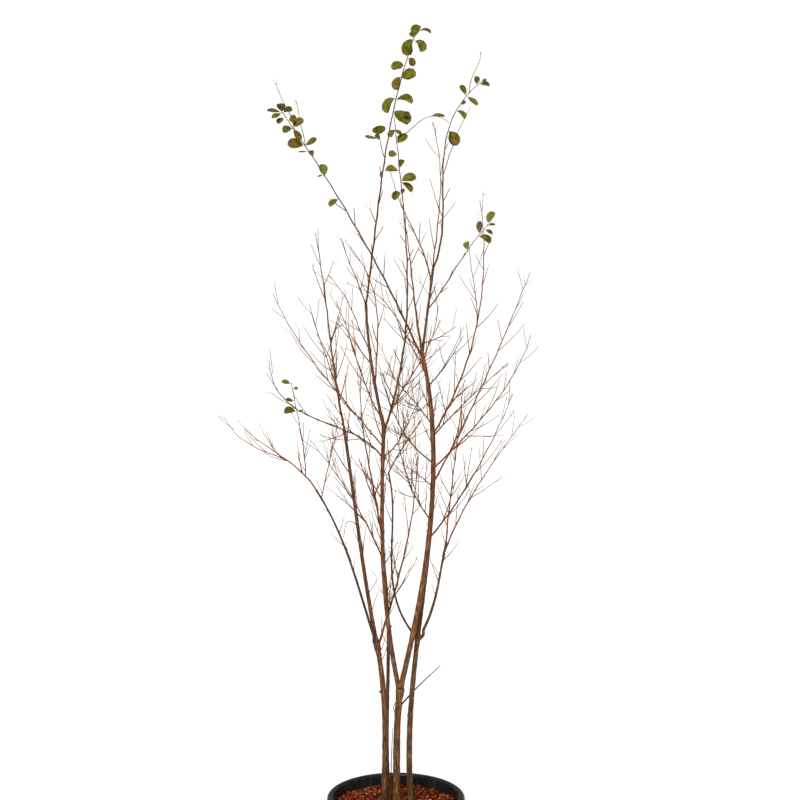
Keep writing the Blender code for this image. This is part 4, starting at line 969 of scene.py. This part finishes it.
def add_short_twigs(points, radii, start, end, spacing, shortest, longest, bag, shade):
    """Twigs between the longer ones on a whip or a bough, curved up, most of them short."""
    count = int(length_of(points) * (end - start) / spacing)
    turn = fine_rng.uniform(0, 2 * math.pi)
    for k in range(count):
        t = start + (end - start) * (k + fine_rng.uniform(0.1, 0.9)) / count
        turn = next_turn(fine_rng, turn, FINE_TURN_SPREAD)
        foot, along, radius = point_along(points, radii, t)
        size = shortest + (longest - shortest) * fine_rng.random() ** SHORT_MOSTLY
        pieces = max(3, round(size / SHORT_PIECE))
        lift = fine_rng.uniform(0.0, SHORT_CURVE) / pieces
        made = twig_points(fine_rng, foot, along, turn, size, pieces, lift, SHORT_KINK / math.sqrt(pieces))
        if not is_drawn(made):
            continue
        thick = min(radius * FINE_SHARE, SHORT_FOOT + size * SHORT_FOOT_BY_LENGTH)
        wide = np.linspace(thick, SHORT_TIP, pieces + 1)
        add_tube(bag, made, wide, FINE_SIDES, shade=shade)
        add_sprays(made, wide, 0, bag, shade)


def add_tip_fork(points, radii, bag, shade):
    """The end of a whip or a twig forks into one to three short fine twigs."""
    turn = fine_rng.uniform(0, 2 * math.pi)
    for _ in range(fine_rng.choice(TIP_FORKS)):
        foot, along, radius = point_along(points, radii, fine_rng.uniform(*TIP_FORK_AT))
        turn = next_turn(fine_rng, turn, FINE_TURN_SPREAD)
        size = fine_rng.uniform(*TIP_FORK_LENGTHS)
        made = twig_points(fine_rng, foot, along, turn, size, TIP_FORK_PIECES, TIP_FORK_LIFT, TIP_FORK_KINK)
        if is_drawn(made):
            thick, thin = TIP_FORK_RADII
            wide = np.linspace(min(radius * 0.8, thick), thin, TIP_FORK_PIECES + 1)
            add_tube(bag, made, wide, FINE_SIDES, shade=shade)


def wavering(points, radii, amount):
    """A whip bends a little at each joint, to one side and then the other, and swells there."""
    side = np.cross(tangents(points), np.array([0.2, 0.9, 0.1]))
    swing = np.zeros(len(points))
    joint = np.zeros(len(points))
    for number, k in enumerate(range(WAVER_STEPS - 1, len(points) - 1, WAVER_STEPS)):
        swing[k] = (1 if number % 2 else -1) * amount * fine_rng.uniform(0.2, 1.0)
        joint[k] = 1.0
    sweep = np.convolve(swing, WAVER_SHAPE, mode="same") * np.clip(np.arange(len(points)) / 4, 0, 1)
    return points + side * sweep[:, None], radii * (1 + SWELL * np.convolve(joint, SWELL_SHAPE, mode="same"))


def curled(points, radius):
    """A smooth twig through a few steps, thinner toward its end."""
    t = np.linspace(0, len(points) - 1, 5 * len(points))
    way = np.stack([np.interp(t, np.arange(len(points)), points[:, axis]) for axis in range(3)], axis=1)
    for _ in range(3):
        way[1:-1] = (way[:-2] + way[1:-1] * 2 + way[2:]) / 4
    return way, np.linspace(radius, radius * 0.6, len(way))


def twig_look(name, pale, shaded=DARK_BROWNS):
    look, tree, shader, place = new_look(name, 0.70, 0.05)
    grain = noise_of(tree, stretched(tree, place, (120, 120, 26)), 2.0)
    browns = [ramp(tree, grain, [(0.34, pair[0]), (0.66, pair[1])]) for pair in (shaded, pale)]
    tree.links.new(mixed(tree, shade_of(tree), *browns), shader.inputs["Base Color"])
    add_bump(tree, shader, noise_of(tree, place, 900.0, 2.0), 0.3, 0.0006)
    return look


twig_bags = [new_bag() for _ in TWIG_BROWNS]
tip_bag = new_bag()
whip_bag = new_bag()
leafy_whip_bag = new_bag()
fine_rng = random.Random(41)
for number, mass in enumerate(MASSES):
    bag = twig_bags[number % len(twig_bags)]
    shade = mass.get("shade", 0.2 + 0.7 * (number * 0.618 % 1.0))
    carries = mass["reach"] > 0
    for order, route in enumerate([mass] + mass.get("forks", [])):
        whip, wide = wavering(*fine_curves[route["name"]], WAVER if carries else 0.0)
        wide = wide * mass.get("stoutness", 1.0)
        leafy = "leaves" in route
        add_tube(leafy_whip_bag if leafy else whip_bag, whip, wide, WHIP_SIDES, shade=shade)
        drawn = side_twigs(mass, route, number if order == 0 else number + 100)
        if "leaves" in mass and order:
            if not leafy:
                add_tip_fork(whip, wide, bag, shade)
            continue
        inner = whip[0][2] < INNER_CROWN
        for made, thick in drawn:
            made, thick = rounded(made, thick, TWIG_PIECES)
            if "leaves" in mass or (not inner and fine_rng.random() < CUT_SHARE):
                made, thick = made[:4], thick[:4]
            add_tube(bag, made, thick, TWIG_SIDES, shade=shade)
            if made[0][2] < INNER_CROWN:
                add_sprays(made, thick, 0, bag, shade)
                add_tip_fork(made, thick, tip_bag, shade)
            elif fine_rng.random() < FORKED_SHARE:
                add_tip_fork(made, thick, tip_bag, shade)
        if carries:
            if not leafy:
                add_tip_fork(whip, wide, bag, shade)
            short = INNER_SHORT if inner else OUTER_SHORT
            end = min(0.95, short["upto"] / length_of(whip))
            longest = mass["reach"] * short["longest"]
            add_short_twigs(whip, wide, 0.04, end, short["spacing"], short["shortest"], longest, bag, shade)
for number, (name, start, spacing, longest) in enumerate(BOUGH_TWIGS):
    bag = twig_bags[number % len(twig_bags)]
    add_short_twigs(*fine_curves[name], start, 1.0, spacing, 0.015, longest, bag, 0.5)
for number, (name, height, steps, radius) in enumerate(STRAY_TWIGS):
    points, radii = fine_curves[name]
    k = int(np.abs(points[:, 2] - height).argmin())
    stray = [points[k] - np.array([0, radii[k] * 0.6, 0])]
    for x, z in steps:
        stray.append(stray[-1] + np.array([x, -0.002, z]) / 1000)
    add_tube(twig_bags[number % len(twig_bags)], *curled(np.array(stray), radius), STRAY_SIDES, shade=0.2)
leafy_whips = [mass["name"] for mass in MASSES if mass["name"].startswith("leafy")]
bare_whips = [mass["name"] for mass in MASSES if mass["name"] not in leafy_whips]
whip_look = twig_look("red brown whips", WHIP_BROWNS)
finish_piece(bag_object("whips", whip_bag), whip_look, bare_whips)
leafy_look = twig_look("dark leafy whips", LEAFY_BROWNS)
finish_piece(bag_object("leafy_whips", leafy_whip_bag), leafy_look, leafy_whips)
for number, (bag, browns) in enumerate(zip(twig_bags, TWIG_BROWNS), 1):
    look = twig_look(f"twig bark {number}", browns)
    finish_piece(bag_object(f"twigs_{number}", bag), look)
tip_look = twig_look("pale twig tips", TIP_BROWNS, TWIG_BROWNS[1])
finish_piece(bag_object("twig_tips", tip_bag), tip_look)


# The leaves are left over from summer: small, roundish and olive, a few brighter and
# a few dried brown. Each hangs on a short stalk, folds along its rib and bends down.
# An entry is a leaf's height on its shoot, its direction in degrees as seen from the
# front, its length and width in millimetres, how far its rib bends down in degrees, its
# colour, and the length of its stalk where that is long.
SHOOT_LEAVES = {
    "leafy_top": [
        (2.833, 72, 41, 46, 20, "olive"), (2.850, 29, 38, 24, 80, "tawny", 18),
        (2.835, 120, 19, 16, 20, "olive"), (2.834, -140, 52, 62, 75, "olive"),
        (2.829, -22, 46, 48, 75, "olive", 6), (2.776, -28, 30, 28, 60, "tawny"),
        (2.749, 163, 43, 40, 85, "olive"), (2.705, 35, 49, 46, 55, "olive"),
        (2.714, -143, 48, 38, 70, "tawny"), (2.638, 7, 58, 46, 50, "olive"),
        (2.640, -160, 62, 44, 80, "olive"), (2.600, -38, 66, 64, 20, "olive"),
        (2.582, 10, 24, 18, 30, "dark", 40), (2.410, -108, 25, 18, 30, "dry")],
    "leafy_top0": [
        (2.520, 94, 28, 50, 10, "olive"), (2.512, -178, 40, 19, -20, "dry", 9),
        (2.504, 126, 21, 22, 20, "olive")],
    "leafy_second_top0": [
        (2.563, 15, 44, 16, 25, "tawny")],
    "leafy_second_top": [
        (2.530, -125, 32, 34, 30, "olive"), (2.530, -50, 22, 26, 20, "tawny"),
        (2.478, 55, 41, 40, 35, "olive"), (2.441, 170, 26, 36, 30, "olive"),
        (2.398, 60, 26, 32, 10, "olive"), (2.394, -173, 44, 46, -15, "tawny"),
        (2.357, 36, 48, 40, 40, "olive"), (2.359, -38, 44, 38, 15, "olive"),
        (2.318, -169, 33, 34, 70, "olive"), (2.314, 79, 18, 18, 0, "olive")],
    "leafy_left_shoot": [
        (2.551, 165, 43, 17, 10, "dark", 7), (2.551, 112, 27, 40, 10, "dark"),
        (2.551, 30, 29, 28, 25, "dark"), (2.551, -150, 33, 23, 10, "olive", 6),
        (2.531, 17, 23, 32, 30, "tawny"), (2.538, -140, 25, 28, 20, "olive", 7),
        (2.511, 36, 37, 43, 45, "tawny"), (2.507, -166, 31, 32, 10, "tawny"),
        (2.503, -62, 43, 31, 10, "tawny"), (2.455, 168, 50, 38, 20, "tawny", 6),
        (2.454, 28, 40, 25, 5, "tawny"), (2.434, -178, 30, 8, 0, "dark"), (2.419, 89, 18, 30, 10, "dry"),
        (2.360, 115, 38, 34, -15, "bright"), (2.366, -166, 18, 10, 0, "dry"),
        (2.297, -145, 37, 25, 15, "olive")],
    "leafy_right_shoot": [
        (2.697, 98, 26, 24, 0, "dry"), (2.702, -12, 33, 24, 10, "dark"), (2.702, 33, 18, 13, 0, "dry", 12),
        (2.662, 124, 36, 26, 0, "olive"), (2.662, -45, 46, 25, 0, "olive"), (2.631, 29, 19, 20, 20, "dry"),
        (2.612, -39, 43, 31, 25, "olive"), (2.546, -45, 52, 48, 45, "olive"),
        (2.525, -40, 28, 24, 10, "dry", 22)],
    "leafy_right_low_shoot": [
        (2.205, 76, 38, 36, 45, "bright", 10), (2.207, 11, 22, 15, 20, "olive"),
        (2.198, -24, 26, 17, 15, "olive"), (2.178, -11, 41, 33, 35, "olive"),
        (2.182, 87, 38, 25, 0, "dry"), (2.134, 85, 27, 30, 0, "bright")],
    "leafy_outer_left1": [
        (1.714, 159, 27, 18, 10, "olive"), (1.701, 2, 14, 12, 0, "dry"), (1.662, 168, 26, 14, 0, "dark"),
        (1.629, 177, 36, 38, 20, "olive"), (1.629, 2, 17, 13, 0, "dry")],
}
LEAF_GREENS = {
    "olive": ((0.036, 0.031, 0.001), (0.116, 0.104, 0.003)),
    "bright": ((0.060, 0.068, 0.005), (0.150, 0.160, 0.022)),
    "dark": ((0.028, 0.025, 0.004), (0.075, 0.062, 0.010)),
    "tawny": ((0.044, 0.031, 0.002), (0.138, 0.096, 0.008)),
    "dry": ((0.050, 0.028, 0.009), (0.140, 0.085, 0.028)),
}
LEAF_EDGE_BROWN = (0.075, 0.040, 0.012)
STALK_GREENS = ((0.060, 0.040, 0.010), (0.150, 0.100, 0.030))
STALK_LENGTH = 0.004
# How far a leaf points to the front or back, how far its upper and its lower half fold
# out of its plane in degrees, and how much its blade waves.
LEAF_DEPTHS = (-0.45, 0.20)
UPPER_FOLDS = (-30, 20)
LOWER_FOLDS = (35, 80)
RUFFLES = (0.04, 0.12)
STALK_RADII = np.array([0.0006, 0.0005, 0.0004])
# A leaf's outline: how wide it is, as a share of its greatest width, at each share of
# its length. Its blade has a point at each of these shares across, from edge to edge.
LEAF_OUTLINE = [(0.06, 0.20), (0.20, 0.58), (0.38, 0.88), (0.58, 1.0), (0.78, 0.90), (0.93, 0.55)]
LEAF_ACROSS = (-1.0, -0.5, 0.0, 0.5, 1.0)


def add_leaf(bag, stalks, foot, direction, length, width, bend, stalk, rng):
    """One leaf. Its rib bends down from its direction, and its halves fold toward each other."""
    turn = math.radians(direction)
    down = -1.0 if math.cos(turn) > 0 else 1.0
    bend = math.radians(bend) * down
    depth = rng.uniform(*LEAF_DEPTHS)
    upper = math.radians(rng.uniform(*UPPER_FOLDS))
    lower = math.radians(rng.uniform(*LOWER_FOLDS))
    ahead = unit(np.array([math.cos(turn), depth, math.sin(turn)]))
    rib = foot + ahead * stalk
    add_tube(stalks, np.array([foot, foot + ahead * stalk * 0.5, rib + ahead * 0.002]), STALK_RADII, 4)
    ruffle = rng.uniform(*RUFFLES)
    phase = rng.uniform(0, 6.28)
    rows = []
    last = 0.0
    for t, half in LEAF_OUTLINE:
        turned_by = turn + bend * t
        ahead = unit(np.array([math.cos(turned_by), depth, math.sin(turned_by)]))
        above = unit(np.cross(np.array([0.0, -1.0, 0.0]), ahead)) * -down
        facing = unit(np.cross(ahead, above))
        if facing[1] > 0:
            facing = -facing
        rib = rib + ahead * length * (t - last)
        last = t
        row = []
        for w in LEAF_ACROSS:
            tilt = upper if w < 0 else lower
            reach = abs(w) * half * width / 2
            wave = ruffle * length * 0.5 * w * w * math.sin(phase + t * 9 + w * 2)
            outward = above if w < 0 else -above
            row.append(rib + outward * reach * math.cos(tilt) + facing * (reach * math.sin(tilt) + wave))
        rows.append(np.array(row))
    n, across = len(rows), len(LEAF_ACROSS)
    start = bag["count"]
    end = start + 1 + n * across
    bag["points"].append((foot + unit(rows[0][2] - foot) * stalk)[None])
    bag["points"].extend(rows)
    bag["points"].append((rib + ahead * length * (1 - last))[None])
    # A leaf's shade is how near its edge and its tip each point lies.
    from_rib = np.abs(LEAF_ACROSS) ** 2
    shades = [from_rib * 0.7 + 0.3 * t ** 4 for t, _ in LEAF_OUTLINE]
    bag["shades"].append(np.concatenate([[0.0], *shades, [1.0]]))
    for k in range(across - 1):
        bag["faces"].append([start, start + 2 + k, start + 1 + k])
        for row in range(n - 1):
            corner = start + 1 + row * across + k
            bag["faces"].append([corner, corner + 1, corner + across + 1, corner + across])
        corner = end - across + k
        bag["faces"].append([corner, corner + 1, end])
    bag["count"] = end + 1


leaf_bags = {name: new_bag() for name in LEAF_GREENS}
stalk_bag = new_bag()
leaf_rng = random.Random(12)
for shoot, entries in SHOOT_LEAVES.items():
    points, radii = fine_curves[shoot]
    for height, direction, length, width, bend, colour, *stalk in entries:
        foot = points[min(int(np.abs(points[:, 2] - height).argmin()), len(points) - 2)]
        stalk = stalk[0] / 1000 if stalk else STALK_LENGTH
        size = (length / 1000, width / 1000)
        add_leaf(leaf_bags[colour], stalk_bag, foot, direction, *size, bend, stalk, leaf_rng)
for name, bag in leaf_bags.items():
    look, tree, shader, place = new_look(name + " leaves", 0.55, 0.10)
    low, high = LEAF_GREENS[name]
    green = ramp(tree, noise_of(tree, place, 110.0, 4.0), [(0.34, low), (0.62, high)])
    browned = share_above(tree, shade_of(tree), 0.45, 1.0, 0.75)
    tree.links.new(mixed(tree, browned, green, LEAF_EDGE_BROWN), shader.inputs["Base Color"])
    add_bump(tree, shader, noise_of(tree, place, 420.0, 2.0), 0.35, 0.001)
    finish_piece(bag_object("leaves_" + name, bag), look)
finish_piece(bag_object("leaf_stalks", stalk_bag), twig_look("leaf stalks", STALK_GREENS))


# A plain pale studio floor, soft light from all round with a broad soft lamp from
# the upper front, and a level camera at eye height in front of the tree.
FLOOR_SIZE = 4000
FLOOR_WHITE = (0.93, 0.93, 0.93, 1)
SKY_LIGHT = 0.32
SKY_SEEN = 1.05
LAMP_STRENGTH = 4.6
LAMP_SPREAD = 35
LAMP_FROM = (-0.6, -3.2, 2.6)
VIEW_DISTANCE = 3.64
VIEW_HEIGHT = 1.665
VIEW_SIDE = 0.013
FOCAL_PIXELS = 1134.0
PICTURE_PIXELS = 800
SENSOR_WIDTH = 36.0
deselect()
bpy.ops.mesh.primitive_plane_add(size=FLOOR_SIZE, location=(0, 0, 0))
floor = bpy.context.object
floor.name = "studio_floor"
floor_look, tree, shader, place = new_look("pale floor", 0.95, 0.0)
shader.inputs["Base Color"].default_value = FLOOR_WHITE
floor.data.materials.append(floor_look)

world = bpy.data.worlds.new("studio")
bpy.context.scene.world = world
world.use_nodes = True
tree = world.node_tree
backdrop = tree.nodes["Background"]
backdrop.inputs["Color"].default_value = (1.0, 1.0, 1.0, 1)
seen = tree.nodes.new("ShaderNodeLightPath")
level = tree.nodes.new("ShaderNodeMapRange")
level.inputs["To Min"].default_value = SKY_LIGHT
level.inputs["To Max"].default_value = SKY_SEEN
tree.links.new(seen.outputs["Is Camera Ray"], level.inputs["Value"])
tree.links.new(level.outputs["Result"], backdrop.inputs["Strength"])

lamp_data = bpy.data.lights.new("softbox", "SUN")
lamp_data.energy = LAMP_STRENGTH
lamp_data.angle = math.radians(LAMP_SPREAD)
lamp = bpy.data.objects.new("softbox", lamp_data)
lamp.rotation_euler = (Vector((0, 0, 0)) - Vector(LAMP_FROM)).to_track_quat("-Z", "Y").to_euler()
bpy.context.scene.collection.objects.link(lamp)

camera_data = bpy.data.cameras.new("camera")
camera_data.sensor_width = SENSOR_WIDTH
camera_data.lens = SENSOR_WIDTH * FOCAL_PIXELS / PICTURE_PIXELS
camera_data.clip_end = 5000
camera = bpy.data.objects.new("camera", camera_data)
camera.location = (VIEW_SIDE, -VIEW_DISTANCE, VIEW_HEIGHT)
camera.rotation_euler = (math.pi / 2, 0, 0)
bpy.context.scene.collection.objects.link(camera)
bpy.context.scene.camera = camera
bpy.context.scene.view_settings.view_transform = "Standard"
